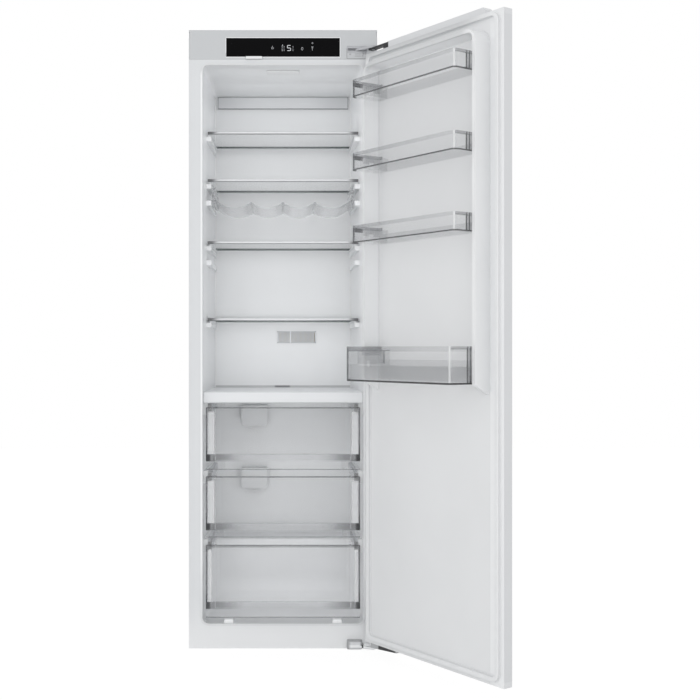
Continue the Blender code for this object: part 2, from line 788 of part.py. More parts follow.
def liner_ribs():
    """Shelf ribs and flat rail lands on both side walls, before they are trimmed to the wall."""
    pieces = []
    for side in (-1, 1):
        outer = side * OPENING_WIDTH / 2
        for level in rib_levels():
            inner = side * RIB_INNER_WIDTH / 2
            start = deep(SHELF_FRONT_DEEP + TRIM_FRONT)
            near, far = sorted((inner, outer))
            pieces.append(
                box("rib", (near, far), (start, start + RIB_REACH), (level - RIB_HEIGHT, level))
            )
        ledge = DIVIDER_TOP - DIVIDER_PLATE - FIT
        near, far = sorted((side * RIB_INNER_WIDTH / 2, outer))
        start = deep(DIVIDER_DEEP + DIVIDER_LIP_THICK + FIT)
        pieces.append(
            box(
                "ledge",
                (near, far),
                (start, deep(DIVIDER_DEEP + DIVIDER_LENGTH)),
                (ledge - RIB_HEIGHT, ledge),
            )
        )
        for index in range(len(DRAWER_TOPS)):
            near, far = sorted((side * RAIL_LAND_WIDTH / 2, outer))
            low = rail_level(index) - LAND_MARGIN
            length = rail_length(index) - LAND_MARGIN
            start = deep(RAIL_START + LAND_MARGIN)
            pieces.append(
                box("land", (near, far), (start, start + length), (low, low + RAIL_HEIGHT + 2 * LAND_MARGIN))
            )
    return grouped("ribs", pieces)


def cowl_outline(index, inset):
    """Front view of a moulded air cowl, drawn in by an inset."""
    low = cowl_bottom(index)
    left = COWL_CENTRE_X - COWL_WIDTH / 2
    right = COWL_CENTRE_X + COWL_WIDTH / 2
    large = COWL_RADIUS - inset
    small = 2 * COWL_WALL - inset
    return rounded_outline(
        (left + inset, low + inset),
        (right - inset, low + COWL_HEIGHT - inset),
        (large, large, small, small),
    )


def add_cowls(cover):
    """Raise the two air cowls on the back cover, hollow from behind with an open underside."""
    for index in range(2):
        front = deep(LINER_DEPTH - COWL_PROUD)
        hood = prism_y("hood", cowl_outline(index, 0), (front, deep(LINER_DEPTH + LINER_WALL / 2)))
        joined(cover, hood)
        room = prism_y(
            "room", cowl_outline(index, COWL_WALL), (front + COWL_WALL, deep(LINER_DEPTH + OVERRUN))
        )
        cut(cover, room)
        low = cowl_bottom(index)
        mouth = box(
            "mouth",
            (
                COWL_CENTRE_X - COWL_WIDTH / 2 + COWL_RADIUS,
                COWL_CENTRE_X + COWL_WIDTH / 2 - COWL_RADIUS,
            ),
            (front + 2 * COWL_WALL, deep(LINER_DEPTH - 2 * COWL_WALL)),
            (low - OVERRUN, low + 2 * COWL_WALL),
        )
        cut(cover, mouth)


def back_plate(name, gap, y_range):
    """The opening in the liner's back wall above the compressor's hump, drawn in by a gap."""
    inset = COVER_FLANGE + gap
    outline = rounded_outline(
        (inset - LINER_REAR_WIDTH / 2, HUMP_TOP + inset),
        (LINER_REAR_WIDTH / 2 - inset, OPENING_TOP - LINER_REAR_DROP - inset),
        (LINER_REAR_RADIUS - inset,) * 4,
    )
    return prism_y(name, outline, y_range)


def back_cover():
    """White back wall of the food room with the air outlet, the intake window and two moulded cowls."""
    cover = back_plate("cover", FIT, (deep(LINER_DEPTH), deep(LINER_DEPTH + LINER_WALL)))
    through = (deep(LINER_DEPTH - OVERRUN), deep(LINER_DEPTH + LINER_WALL + OVERRUN))
    outlet_centre = STRIP_TOP - STRIP_HEIGHT / 2
    windows = [
        box(
            "outlet",
            (-OUTLET_WIDTH / 2, OUTLET_WIDTH / 2),
            through,
            (outlet_centre - OUTLET_HEIGHT / 2, outlet_centre + OUTLET_HEIGHT / 2),
        ),
        box(
            "intake",
            (
                GRILLE_CENTRE_X - GRILLE_WIDTH / 2 + GRILLE_BORDER,
                GRILLE_CENTRE_X + GRILLE_WIDTH / 2 - GRILLE_BORDER,
            ),
            through,
            (
                GRILLE_CENTRE_Z - GRILLE_HEIGHT / 2 + GRILLE_BORDER,
                GRILLE_CENTRE_Z + GRILLE_HEIGHT / 2 - GRILLE_BORDER,
            ),
        ),
    ]
    cut(cover, grouped("windows", windows))
    add_cowls(cover)
    return finished(cover, "back_cover", WHITE, SATIN)


def inner_liner():
    """White vacuum-formed tub with a rounded lip, shelf ribs, rail lands and floor pegs, open behind."""
    tub = liner_space("tub", LINER_WALL, 0)
    outer = LINER_WALL + FIT + LINER_LIP_WIDTH
    lip_outline = rounded_outline(
        (-OPENING_WIDTH / 2 - outer, OPENING_BOTTOM - outer),
        (OPENING_WIDTH / 2 + outer, OPENING_TOP + outer),
        (OPENING_RADIUS + outer,) * 4,
    )
    lip = prism_y("lip", lip_outline, (deep(-FIT - LINER_LIP_PROUD), deep(-FIT)))
    stretch = rounded_outline(
        (-OPENING_WIDTH / 2 - LINER_WALL, OPENING_BOTTOM - LINER_WALL),
        (OPENING_WIDTH / 2 + LINER_WALL, OPENING_TOP + LINER_WALL),
        (OPENING_RADIUS + LINER_WALL,) * 4,
    )
    collar = prism_y("collar", stretch, (deep(-FIT - LINER_LIP_PROUD / 2), deep(LINER_WALL)))
    joined(tub, collar)
    joined(tub, lip)
    cut(tub, liner_space("inside", 0, OVERRUN))
    joined(tub, common(liner_ribs(), liner_space("trim", LINER_WALL / 2, 0)))
    pegs = []
    for side in (-1, 1):
        centre = side * FLOOR_PEG_SPREAD / 2
        pegs.append(
            prism_z(
                "peg",
                circle((centre, deep(FLOOR_PEG_DEEP)), FLOOR_PEG_SIZE / 2, ROUND_STEPS // 2),
                (OPENING_BOTTOM - LINER_WALL / 2, OPENING_BOTTOM + FLOOR_PEG_HEIGHT),
            )
        )
    joined(tub, grouped("pegs", pegs))
    light_window = box(
        "light window",
        (-LIGHT_WIDTH / 2 - FIT, LIGHT_WIDTH / 2 + FIT),
        (deep(LIGHT_DEEP - FIT), deep(LIGHT_DEEP + LIGHT_LENGTH + FIT)),
        (OPENING_TOP - 2 * OVERRUN, OPENING_TOP + LINER_WALL + OVERRUN),
    )
    cut(tub, light_window)
    behind = (deep(LINER_DEPTH - OVERRUN), deep(LINER_DEPTH + LINER_WALL + OVERRUN))
    cut(tub, back_plate("back opening", 0, behind))
    return finished(tub, "inner_liner", WHITE, SATIN)


def pocket_box(name, growth):
    """The recess in the fascia that holds the upper hinge bracket, grown by a gap."""
    return box(
        name,
        (BRACKET_LEFT - growth, BRACKET_RIGHT + growth),
        (deep(-OVERRUN), deep(FASCIA_DEPTH / 2)),
        (BRACKET_BOTTOM_Z - growth, BRACKET_TOP_Z + growth),
    )


def control_fascia():
    """Moulded head cover with a recess for the touch panel, a hinge pocket and a switch slot."""
    half = HALF_CABINET - SHEET - FIT
    top = CABINET_HEIGHT - SHEET - FIT
    fascia = box("fascia", (-half, half), (deep(0), deep(FASCIA_DEPTH)), (FASCIA_BOTTOM, top))
    hollow_back = FASCIA_DEPTH + OVERRUN
    floor = PANEL_THICK + FASCIA_WALL
    rooms = [
        box(
            "room",
            (-half + FASCIA_WALL, BRACKET_LEFT - 2 * FASCIA_WALL),
            (deep(floor), deep(hollow_back)),
            (FASCIA_BOTTOM + FASCIA_WALL, top - FASCIA_WALL),
        ),
        box(
            "room",
            (BRACKET_RIGHT + 2 * FASCIA_WALL, half - FASCIA_WALL),
            (deep(floor), deep(hollow_back)),
            (FASCIA_BOTTOM + FASCIA_WALL, top - FASCIA_WALL),
        ),
    ]
    cut(fascia, grouped("rooms", rooms))
    recess = box(
        "recess",
        (-PANEL_WIDTH / 2 - FIT, PANEL_WIDTH / 2 + FIT),
        (deep(-OVERRUN), deep(PANEL_THICK)),
        (PANEL_TOP - PANEL_HEIGHT - FIT, PANEL_TOP + FIT),
    )
    cut(fascia, recess)
    cut(fascia, pocket_box("pocket", FIT))
    slot = box(
        "slot",
        (SWITCH_LEFT - FIT, SWITCH_LEFT + SWITCH_WIDTH + FIT),
        (deep(-OVERRUN), deep(SWITCH_LENGTH + SWITCH_STROKE + FIT)),
        (FASCIA_BOTTOM - OVERRUN, switch_bottom() + SWITCH_HEIGHT + FIT),
    )
    cut(fascia, slot)
    cut(fascia, side_notches())
    return finished(fascia, "control_fascia", WHITE, SATIN)


def control_panel():
    """Black touch strip set in the fascia."""
    outline = rounded_outline(
        (-PANEL_WIDTH / 2, PANEL_TOP - PANEL_HEIGHT),
        (PANEL_WIDTH / 2, PANEL_TOP),
        (PANEL_THICK / 4,) * 4,
    )
    panel = prism_y("panel", outline, (deep(-PANEL_PROUD), deep(PANEL_THICK - FIT)))
    return finished(panel, "control_panel", DARK, GLOSS)


def switch_bottom():
    """Height of the underside of the door switch, just below the panel."""
    return PANEL_TOP - PANEL_HEIGHT - 2 * FIT - SWITCH_HEIGHT


def door_switch():
    """White plunger that the closing door pushes in, with a collar behind the fascia wall."""
    low = switch_bottom()
    floor = PANEL_THICK + FASCIA_WALL
    left, right = SWITCH_LEFT, SWITCH_LEFT + SWITCH_WIDTH
    key = box("key", (left, right), (deep(-SWITCH_PROUD), deep(SWITCH_LENGTH)), (low, low + SWITCH_HEIGHT))
    collar = box(
        "collar",
        (left - SWITCH_COLLAR, right + SWITCH_COLLAR),
        (deep(floor + FIT), deep(floor + SWITCH_COLLAR + FIT)),
        (low + SWITCH_HEIGHT / 2, low + SWITCH_HEIGHT + SWITCH_COLLAR),
    )
    joined(key, collar)
    origin = (left + SWITCH_WIDTH / 2, deep(0), low + SWITCH_HEIGHT / 2)
    hung(key, pivot("door_switch_slide", origin), origin)
    return finished(key, "door_switch", WHITE, SATIN)


def ceiling_light():
    """Lamp lens let into the ceiling, with a flange below it."""
    high = OPENING_TOP + LIGHT_THICK
    lens = box(
        "lens",
        (-LIGHT_WIDTH / 2, LIGHT_WIDTH / 2),
        (deep(LIGHT_DEEP), deep(LIGHT_DEEP + LIGHT_LENGTH)),
        (OPENING_TOP - LINER_REAR_DROP, high),
    )
    flange_top = OPENING_TOP - LINER_REAR_DROP * (LIGHT_DEEP + LIGHT_LENGTH) / LINER_DEPTH - FIT
    outline = rounded_outline(
        (-LIGHT_WIDTH / 2 - LIGHT_FLANGE, deep(LIGHT_DEEP - LIGHT_FLANGE)),
        (LIGHT_WIDTH / 2 + LIGHT_FLANGE, deep(LIGHT_DEEP + LIGHT_LENGTH + LIGHT_FLANGE)),
        (LIGHT_FLANGE,) * 4,
    )
    flange = prism_z("flange", outline, (flange_top - LIGHT_FLANGE, flange_top - FIT))
    joined(lens, flange)
    return finished(lens, "ceiling_light", LENS, GLOSS)


def fan_cover():
    """Silver air strip over the outlet, with a row of slots in its lower edge."""
    back = LINER_DEPTH - FIT
    strip = box(
        "strip",
        (-STRIP_WIDTH / 2, STRIP_WIDTH / 2),
        (deep(back - STRIP_THICK), deep(back)),
        (STRIP_TOP - STRIP_HEIGHT, STRIP_TOP - FIT),
    )
    hollow = box(
        "hollow",
        (-OUTLET_WIDTH / 2, OUTLET_WIDTH / 2),
        (deep(back - STRIP_THICK + PLASTIC), deep(back + OVERRUN)),
        (STRIP_TOP - STRIP_HEIGHT + PLASTIC, STRIP_TOP - PLASTIC),
    )
    cut(strip, hollow)
    pitch = OUTLET_WIDTH / STRIP_SLOTS
    half_slot = pitch * STRIP_SLOT_SHARE / 2
    slots = []
    for index in range(STRIP_SLOTS):
        centre = -OUTLET_WIDTH / 2 + pitch * index + pitch / 2
        slots.append(
            box(
                "slot",
                (centre - half_slot, centre + half_slot),
                (deep(back - STRIP_THICK + PLASTIC), deep(back - PLASTIC / 2)),
                (STRIP_TOP - STRIP_HEIGHT - OVERRUN, STRIP_TOP - STRIP_HEIGHT + 2 * PLASTIC),
            )
        )
    cut(strip, grouped("slots", slots))
    return finished(strip, "fan_cover", SILVER, METAL)


def intake_grille():
    """White grille with level slats and one upright, clipped over the intake window."""
    back = LINER_DEPTH - FIT
    low = GRILLE_CENTRE_Z - GRILLE_HEIGHT / 2
    high = GRILLE_CENTRE_Z + GRILLE_HEIGHT / 2
    left = GRILLE_CENTRE_X - GRILLE_WIDTH / 2
    right = GRILLE_CENTRE_X + GRILLE_WIDTH / 2
    outline = rounded_outline((left, low), (right, high), (GRILLE_BORDER,) * 4)
    grille = prism_y("grille", outline, (deep(back - GRILLE_THICK), deep(back)))
    pitch = (GRILLE_HEIGHT - 2 * GRILLE_BORDER + GRILLE_SLAT) / (GRILLE_SLATS + 1)
    upright = left + GRILLE_BORDER + (GRILLE_WIDTH - 2 * GRILLE_BORDER) * GRILLE_DIVIDER_SHARE
    spans = (
        (left + GRILLE_BORDER, upright - GRILLE_DIVIDER / 2),
        (upright + GRILLE_DIVIDER / 2, right - GRILLE_BORDER),
    )
    through = (deep(back - 2 * GRILLE_THICK), deep(LINER_DEPTH))
    gaps = []
    for row in range(GRILLE_SLATS + 1):
        floor = low + GRILLE_BORDER + pitch * row
        for span in spans:
            gaps.append(box("gap", span, through, (floor, floor + pitch - GRILLE_SLAT)))
    cut(grille, grouped("gaps", gaps))
    return finished(grille, "intake_grille", WHITE, SATIN)


def fan_front():
    """Depth of the rotor's front edge, behind the liner's back wall."""
    return LINER_DEPTH + LINER_WALL + FAN_WALL_GAP


def blade_outline(turn):
    """A backward-curved blade as an outline of (x, z) points about the fan's centre."""
    inner_radius = FAN_HUB_RADIUS - FAN_BLADE
    outer_radius = FAN_RADIUS - FAN_BLADE
    sides = ([], [])
    for step in range(ARC_STEPS + 1):
        share = step / ARC_STEPS
        radius = inner_radius + (outer_radius - inner_radius) * share
        angle = turn - share * math.pi / 4
        point = Vector((radius * math.cos(angle), radius * math.sin(angle)))
        across = Vector((-math.sin(angle), math.cos(angle))) * FAN_BLADE / 2
        sides[0].append(point + across)
        sides[1].append(point - across)
    points = sides[0] + list(reversed(sides[1]))
    return [(point.x, FAN_CENTRE_Z + point.y) for point in points]


def fan_rotor():
    """Radial impeller: a back disc, a hub and curved blades, bored for the motor shaft."""
    front = deep(fan_front())
    back = front + FAN_DEPTH
    disc = prism_y("disc", circle((0, FAN_CENTRE_Z), FAN_RADIUS), (back - FAN_DISC, back))
    hub = prism_y("hub", circle((0, FAN_CENTRE_Z), FAN_HUB_RADIUS), (front, back - FAN_DISC / 2))
    joined(disc, hub)
    blades = []
    for index in range(FAN_BLADES):
        outline = blade_outline(2 * math.pi * index / FAN_BLADES)
        blades.append(prism_y("blade", outline, (front + FAN_DISC, back - FAN_DISC / 2)))
    joined(disc, grouped("blades", blades))
    bore_radius = MOTOR_SHAFT_RADIUS + RUNNING_FIT
    bore = prism_y("bore", circle((0, FAN_CENTRE_Z), bore_radius), (front + FAN_DISC, back + OVERRUN))
    cut(disc, bore)
    origin = (0, (front + back) / 2, FAN_CENTRE_Z)
    hung(disc, pivot("fan_rotor_axis", origin), origin)
    return finished(disc, "fan_rotor", GREY, SATIN, True)


def fan_motor():
    """Motor with its shaft in the rotor and a flange against the duct's back."""
    start = deep(fan_front()) + FAN_DEPTH
    back = deep(LINER_DEPTH + LINER_WALL + DUCT_DEPTH) - FIT
    centre = (0, FAN_CENTRE_Z)
    body = prism_y("body", circle(centre, MOTOR_RADIUS), (start + FAN_DISC, back - MOTOR_FLANGE / 2))
    half = MOTOR_FLANGE_WIDTH / 2
    outline = rounded_outline(
        (-half, FAN_CENTRE_Z - MOTOR_RADIUS), (half, FAN_CENTRE_Z + MOTOR_RADIUS), (MOTOR_FLANGE,) * 4
    )
    joined(body, prism_y("flange", outline, (back - MOTOR_FLANGE, back)))
    shaft_start = start - FAN_DEPTH + 2 * FAN_DISC
    joined(body, prism_y("shaft", circle(centre, MOTOR_SHAFT_RADIUS), (shaft_start, start + 2 * FAN_DISC)))
    return finished(body, "fan_motor", BLACK_PAINT, PAINTED, True)


def evaporator():
    """Finned cooler in the rear duct: upright fins on level tubes."""
    back = deep(LINER_DEPTH + LINER_WALL + DUCT_DEPTH) - FIT
    front = deep(LINER_DEPTH + LINER_WALL) + FAN_WALL_GAP
    half = EVAPORATOR_WIDTH / 2
    top = EVAPORATOR_BOTTOM + EVAPORATOR_HEIGHT
    pitch = (EVAPORATOR_WIDTH - EVAPORATOR_FIN) / (EVAPORATOR_FINS - 1)
    tubes = []
    tube_pitch = EVAPORATOR_HEIGHT / EVAPORATOR_TUBES
    middle = (front + back) / 2
    for row in range(EVAPORATOR_TUBES):
        height = EVAPORATOR_BOTTOM + tube_pitch * row + tube_pitch / 2
        outline = circle((middle, height), EVAPORATOR_TUBE / 2, ROUND_STEPS // 3)
        tubes.append(prism_x("tube", outline, (-half - EVAPORATOR_TUBE, half + EVAPORATOR_TUBE)))
    fins = []
    for index in range(EVAPORATOR_FINS):
        left = -half + pitch * index
        fins.append(box("fin", (left, left + EVAPORATOR_FIN), (front, back), (EVAPORATOR_BOTTOM, top)))
    block = grouped("fins", fins)
    joined(block, grouped("tubes", tubes))
    return finished(block, "evaporator", SILVER, METAL)


def cowl_bottom(index):
    """Height of the underside of a drawer zone's air cowl."""
    return DRAWER_TOPS[index] - RAIL_DROP - COWL_HEIGHT + NOTCH_CLEARANCE


def shelf_frame(number, level):
    """Shelf surround: a front bar with a rounded nose, side rails and a raised rear bar, one moulding."""
    front = deep(SHELF_FRONT_DEEP)
    back = front + SHELF_LENGTH
    half = SHELF_WIDTH / 2
    low = level - TRIM_DROP
    high = level + TRIM_FRONT_RISE
    nose_depth = TRIM_DROP / 2
    outline = (
        (front + nose_depth, low),
        (front + TRIM_FRONT, low),
        (front + TRIM_FRONT, high),
        (front + nose_depth, high),
        (front, high - nose_depth),
        (front, low + nose_depth),
    )
    frame = prism_x("front", outline, (-SHELF_FRONT_WIDTH / 2, SHELF_FRONT_WIDTH / 2))
    joined(frame, box("rear", (-half, half), (back - TRIM_REAR, back), (low, level + TRIM_REAR_RISE)))
    end = back - TRIM_REAR / 2
    for side in (-1, 1):
        span = sorted((side * half, side * (half - TRIM_SIDE)))
        joined(frame, box("link", span, (front + TRIM_FRONT / 2, end), (low + FIT, level)))
        joined(frame, box("rail", span, (front + TRIM_FRONT + FIT, end), (level - TRIM_HEIGHT, level)))
    ledge = TRIM_SIDE / 2
    rebate = box(
        "rebate",
        (-half + ledge, half - ledge),
        (front + TRIM_FRONT - ledge, back - TRIM_REAR + ledge),
        (level - GLASS_THICK - FIT, level + TRIM_REAR_RISE + OVERRUN),
    )
    cut(frame, rebate)
    return finished(frame, f"shelf_frame_{number}", GREY, SATIN)


def shelf_glass(number, level):
    """Glass pane let into the shelf surround."""
    front = deep(SHELF_FRONT_DEEP)
    back = front + SHELF_LENGTH
    ledge = TRIM_SIDE / 2 + FIT
    half = SHELF_WIDTH / 2
    outline = rounded_outline(
        (-half + ledge, front + TRIM_FRONT - TRIM_SIDE / 2 + FIT),
        (half - ledge, back - TRIM_REAR + TRIM_SIDE / 2 - FIT),
        (GLASS_THICK / 2,) * 4,
    )
    pane = prism_z("pane", outline, (level - GLASS_THICK, level))
    return finished(pane, f"shelf_glass_{number}", GLASS, GLOSS)


def bottle_rack():
    """Wavy clear cradle for four bottles, hanging between two ribs."""
    half = BOTTLE_RACK_WIDTH / 2
    lobes_half = BOTTLE_LOBE_LENGTH * BOTTLE_LOBES / 2
    steps = BOTTLE_LOBES * BOTTLE_LOBE_STEPS
    upper = [(-half, BOTTLE_RACK_TOP + BOTTLE_RACK_SHEET)]
    lower = [(-half, BOTTLE_RACK_TOP)]
    for step in range(steps + 1):
        x = -lobes_half + 2 * lobes_half * step / steps
        wave = (1 - math.cos(2 * math.pi * step / BOTTLE_LOBE_STEPS)) / 2
        z = BOTTLE_RACK_TOP + BOTTLE_RACK_SHEET - BOTTLE_LOBE_DROP * wave
        slope = -BOTTLE_LOBE_DROP * math.pi / BOTTLE_LOBE_LENGTH
        slope *= math.sin(2 * math.pi * step / BOTTLE_LOBE_STEPS)
        across = Vector((slope, -1)).normalized() * BOTTLE_RACK_SHEET
        upper.append((x, z))
        lower.append((x + across.x, z + across.y))
    upper.append((half, BOTTLE_RACK_TOP + BOTTLE_RACK_SHEET))
    lower.append((half, BOTTLE_RACK_TOP))
    front = deep(SHELF_FRONT_DEEP + TRIM_FRONT)
    outline = upper + list(reversed(lower))
    rack = prism_y("rack", outline, (front, front + BOTTLE_RACK_LENGTH))
    return finished(rack, "bottle_rack", CLEAR, GLOSS, True)


def divider_shelf():
    """White divider over the drawers: a thin plate with a deep front lip, trimmed to the liner's taper."""
    front = deep(DIVIDER_DEEP)
    back = front + DIVIDER_LENGTH
    low = DIVIDER_TOP - DIVIDER_LIP_HEIGHT
    nose = DIVIDER_LIP_THICK / 3
    outline = (
        (front + nose, low),
        (front + DIVIDER_LIP_THICK, low),
        (front + DIVIDER_LIP_THICK, DIVIDER_TOP - DIVIDER_PLATE),
        (back, DIVIDER_TOP - DIVIDER_PLATE),
        (back, DIVIDER_TOP),
        (front + nose, DIVIDER_TOP),
        (front, DIVIDER_TOP - nose),
        (front, low + nose),
    )
    shelf = prism_x("divider", outline, (-OPENING_WIDTH / 2, OPENING_WIDTH / 2))
    common(shelf, liner_space("trim", -DIVIDER_CLEARANCE, 0))
    notch = box(
        "notch",
        (-DIVIDER_NOTCH_WIDTH / 2, DIVIDER_NOTCH_WIDTH / 2),
        (back - DIVIDER_NOTCH_DEPTH, back + OVERRUN),
        (low, DIVIDER_TOP + OVERRUN),
    )
    cut(shelf, notch)
    return finished(shelf, "divider_shelf", WHITE, SATIN)


# Refrigeration at the back


def compressor():
    """Black steel pot with domed ends, a mounting foot and a discharge stub."""
    centre = (COMPRESSOR_X, deep(COMPRESSOR_DEEP))
    low = TRAY_SHEET + FIT
    profile = [(0, low + COMPRESSOR_FOOT / 2)]
    base = low + COMPRESSOR_FOOT / 2
    top = low + COMPRESSOR_FOOT + COMPRESSOR_HEIGHT
    profile.append((COMPRESSOR_RADIUS * COMPRESSOR_BASE_SHARE, base))
    profile.append((COMPRESSOR_RADIUS, base + COMPRESSOR_DOME / 2))
    for step in range(ARC_STEPS):
        turn = math.pi / 2 * step / ARC_STEPS
        height = top - COMPRESSOR_DOME + COMPRESSOR_DOME * math.sin(turn)
        profile.append((COMPRESSOR_RADIUS * math.cos(turn), height))
    profile.append((0, top))
    pot = turned("pot", profile, centre)
    outline = rounded_outline(
        (centre[0] - COMPRESSOR_FOOT_WIDTH / 2, centre[1] - COMPRESSOR_FOOT_LENGTH / 2),
        (centre[0] + COMPRESSOR_FOOT_WIDTH / 2, centre[1] + COMPRESSOR_FOOT_LENGTH / 2),
        (COMPRESSOR_FOOT,) * 4,
    )
    joined(pot, prism_z("foot", outline, (low, low + COMPRESSOR_FOOT)))
    stub = prism_y(
        "stub",
        circle((centre[0], low + STUB_HEIGHT), STUB_RADIUS, ROUND_STEPS // 2),
        (centre[1], stub_end()),
    )
    joined(pot, stub)
    return finished(pot, "compressor", BLACK_PAINT, PAINTED, True)


def stub_end():
    """Y of the end of the compressor's discharge stub."""
    return deep(COMPRESSOR_DEEP) + COMPRESSOR_RADIUS + STUB_LENGTH


def drip_tray():
    """Round meltwater dish on the compressor's dome."""
    centre = (COMPRESSOR_X, deep(COMPRESSOR_DEEP))
    low = TRAY_SHEET + FIT + COMPRESSOR_FOOT + COMPRESSOR_HEIGHT + FIT
    high = low + DRIP_TRAY_HEIGHT
    inner = DRIP_TRAY_RADIUS - DRIP_TRAY_WALL
    profile = (
        (0, low),
        (DRIP_TRAY_RADIUS * DRIP_TRAY_FOOT_SHARE, low),
        (DRIP_TRAY_RADIUS, high),
        (inner, high),
        (inner * DRIP_TRAY_FOOT_SHARE, low + DRIP_TRAY_WALL),
        (0, low + DRIP_TRAY_WALL),
    )
    dish = turned("dish", profile, centre)
    return finished(dish, "drip_tray", DARK, MATT, True)


def coil_route():
    """Centre line of the condenser tube: down pipe, level passes joined by bends, and a return pipe."""
    y = deep(CASE_DEPTH + COIL_STANDOFF)
    low = TRAY_SHEET + FIT + STUB_HEIGHT
    route = [(COMPRESSOR_X, stub_end() + FIT, low), (COMPRESSOR_X, y - COIL_BEND / 2, low)]
    route.append((COMPRESSOR_X + COIL_BEND / 4, y, low + COIL_BEND / 2))
    outer = COIL_HALF_WIDTH + COIL_BEND
    route.append((COMPRESSOR_X + COIL_BEND, y, low + COIL_BEND + COIL_BEND / 2))
    route.append((outer - COIL_BEND, y, COIL_BOTTOM - 3 * COIL_BEND))
    route.append((outer, y, COIL_BOTTOM - COIL_BEND - COIL_BEND / 2))
    radius = COIL_SPACING / 2
    top = COIL_BOTTOM + COIL_SPACING * (COIL_PASSES - 1)
    route.append((outer, y, top - COIL_BEND))
    for step in range(1, COIL_BEND_STEPS + 1):
        turn = math.pi / 2 * step / COIL_BEND_STEPS
        route.append(
            (outer - COIL_BEND * (1 - math.cos(turn)), y, top - COIL_BEND + COIL_BEND * math.sin(turn))
        )
    inner = COIL_HALF_WIDTH - COIL_BEND - radius
    for index in range(COIL_PASSES - 1):
        side = -1 if index % 2 == 0 else 1
        height = top - COIL_SPACING * index
        for step in range(2 * COIL_BEND_STEPS + 1):
            turn = math.pi * step / (2 * COIL_BEND_STEPS)
            x = side * (inner + radius * math.sin(turn))
            route.append((x, y, height - radius + radius * math.cos(turn)))
    route.append((DRIER_X + COIL_BEND, y, COIL_BOTTOM))
    route.append((DRIER_X, y, COIL_BOTTOM - COIL_BEND))
    route.append((DRIER_X, y, DRIER_BOTTOM + DRIER_LENGTH + FIT))
    return route


def condenser_coil():
    """One unbroken tube laid in level passes behind the rear panel."""
    curve = bpy.data.curves.new("coil", "CURVE")
    curve.dimensions = "3D"
    curve.bevel_depth = COIL_TUBE
    curve.bevel_resolution = 1
    curve.use_fill_caps = True
    spline = curve.splines.new("POLY")
    route = coil_route()
    spline.points.add(len(route) - 1)
    for point, place in zip(spline.points, route):
        point.co = (*place, 1.0)
    item = bpy.data.objects.new("coil", curve)
    bpy.context.scene.collection.objects.link(item)
    graph = bpy.context.evaluated_depsgraph_get()
    mesh = bpy.data.meshes.new_from_object(item.evaluated_get(graph))
    bpy.data.objects.remove(item, do_unlink=True)
    builder = bmesh.new()
    builder.from_mesh(mesh)
    bmesh.ops.remove_doubles(builder, verts=builder.verts[:], dist=FIT / 10)
    coil = new_object("condenser_coil", builder)
    return finished(coil, "condenser_coil", BLACK_PAINT, PAINTED, True)


def filter_drier():
    """Copper drier on the end of the condenser tube."""
    centre = (DRIER_X, deep(CASE_DEPTH + COIL_STANDOFF))
    low = DRIER_BOTTOM
    high = low + DRIER_LENGTH
    neck = COIL_TUBE * DRIER_NECK_SHARE
    profile = (
        (0, low),
        (neck, low),
        (neck, low + DRIER_NECK / 2),
        (DRIER_RADIUS, low + DRIER_NECK),
        (DRIER_RADIUS, high - DRIER_NECK),
        (neck, high - DRIER_NECK / 2),
        (neck, high),
        (0, high),
    )
    drier = turned("drier", profile, centre, ROUND_STEPS // 2)
    return finished(drier, "filter_drier", COPPER, METAL, True)


# Drawers and rails


def rail_outline(points, side, low):
    """Outline points given inwards from the rail land and up from the rail's underside, on one side."""
    land = RAIL_LAND_WIDTH / 2
    return [(side * (land - inward), low + up) for inward, up in points]


def fixed_rail(name, side, index):
    """Channel screwed to the liner's land."""
    height = RAIL_HEIGHT
    sheet = RAIL_SHEET
    outer = FIT
    inner = FIT + RAIL_WIDTH
    returns = RAIL_RETURN
    section = (
        (outer, 0), (inner, 0), (inner, returns), (inner - sheet, returns), (inner - sheet, sheet),
        (outer + sheet, sheet), (outer + sheet, height - sheet), (inner - sheet, height - sheet),
        (inner - sheet, height - returns), (inner, height - returns), (inner, height), (outer, height),
    )
    outline = rail_outline(section, side, rail_level(index))
    start = deep(RAIL_START)
    rail = prism_y("rail", outline, (start, start + rail_length(index)))
    return finished(rail, name, STEEL, METAL)


def slide_reach():
    """How far the sliding member's outer plate stands in from the land."""
    return FIT + RAIL_WIDTH + SLIDE_NECK + SLIDE_PLATE


def sliding_rail(name, side, index):
    """Bulb that runs in the fixed channel, with a neck and the plate that carries the drawer."""
    height = RAIL_HEIGHT
    sheet = RAIL_SHEET
    near = FIT + sheet + RUNNING_FIT
    far = FIT + RAIL_WIDTH - sheet - RUNNING_FIT
    plate = FIT + RAIL_WIDTH + SLIDE_NECK
    low = sheet + RUNNING_FIT
    neck = RAIL_RETURN + RUNNING_FIT
    section = (
        (near, low), (far, low), (far, neck), (plate, neck), (plate, 0), (slide_reach(), 0),
        (slide_reach(), height), (plate, height), (plate, height - neck), (far, height - neck),
        (far, height - low), (near, height - low),
    )
    outline = rail_outline(section, side, rail_level(index))
    start = deep(RAIL_START)
    rail = prism_y("slide", outline, (start, start + rail_length(index) - RAIL_MARGIN))
    return finished(rail, name, STEEL, METAL)


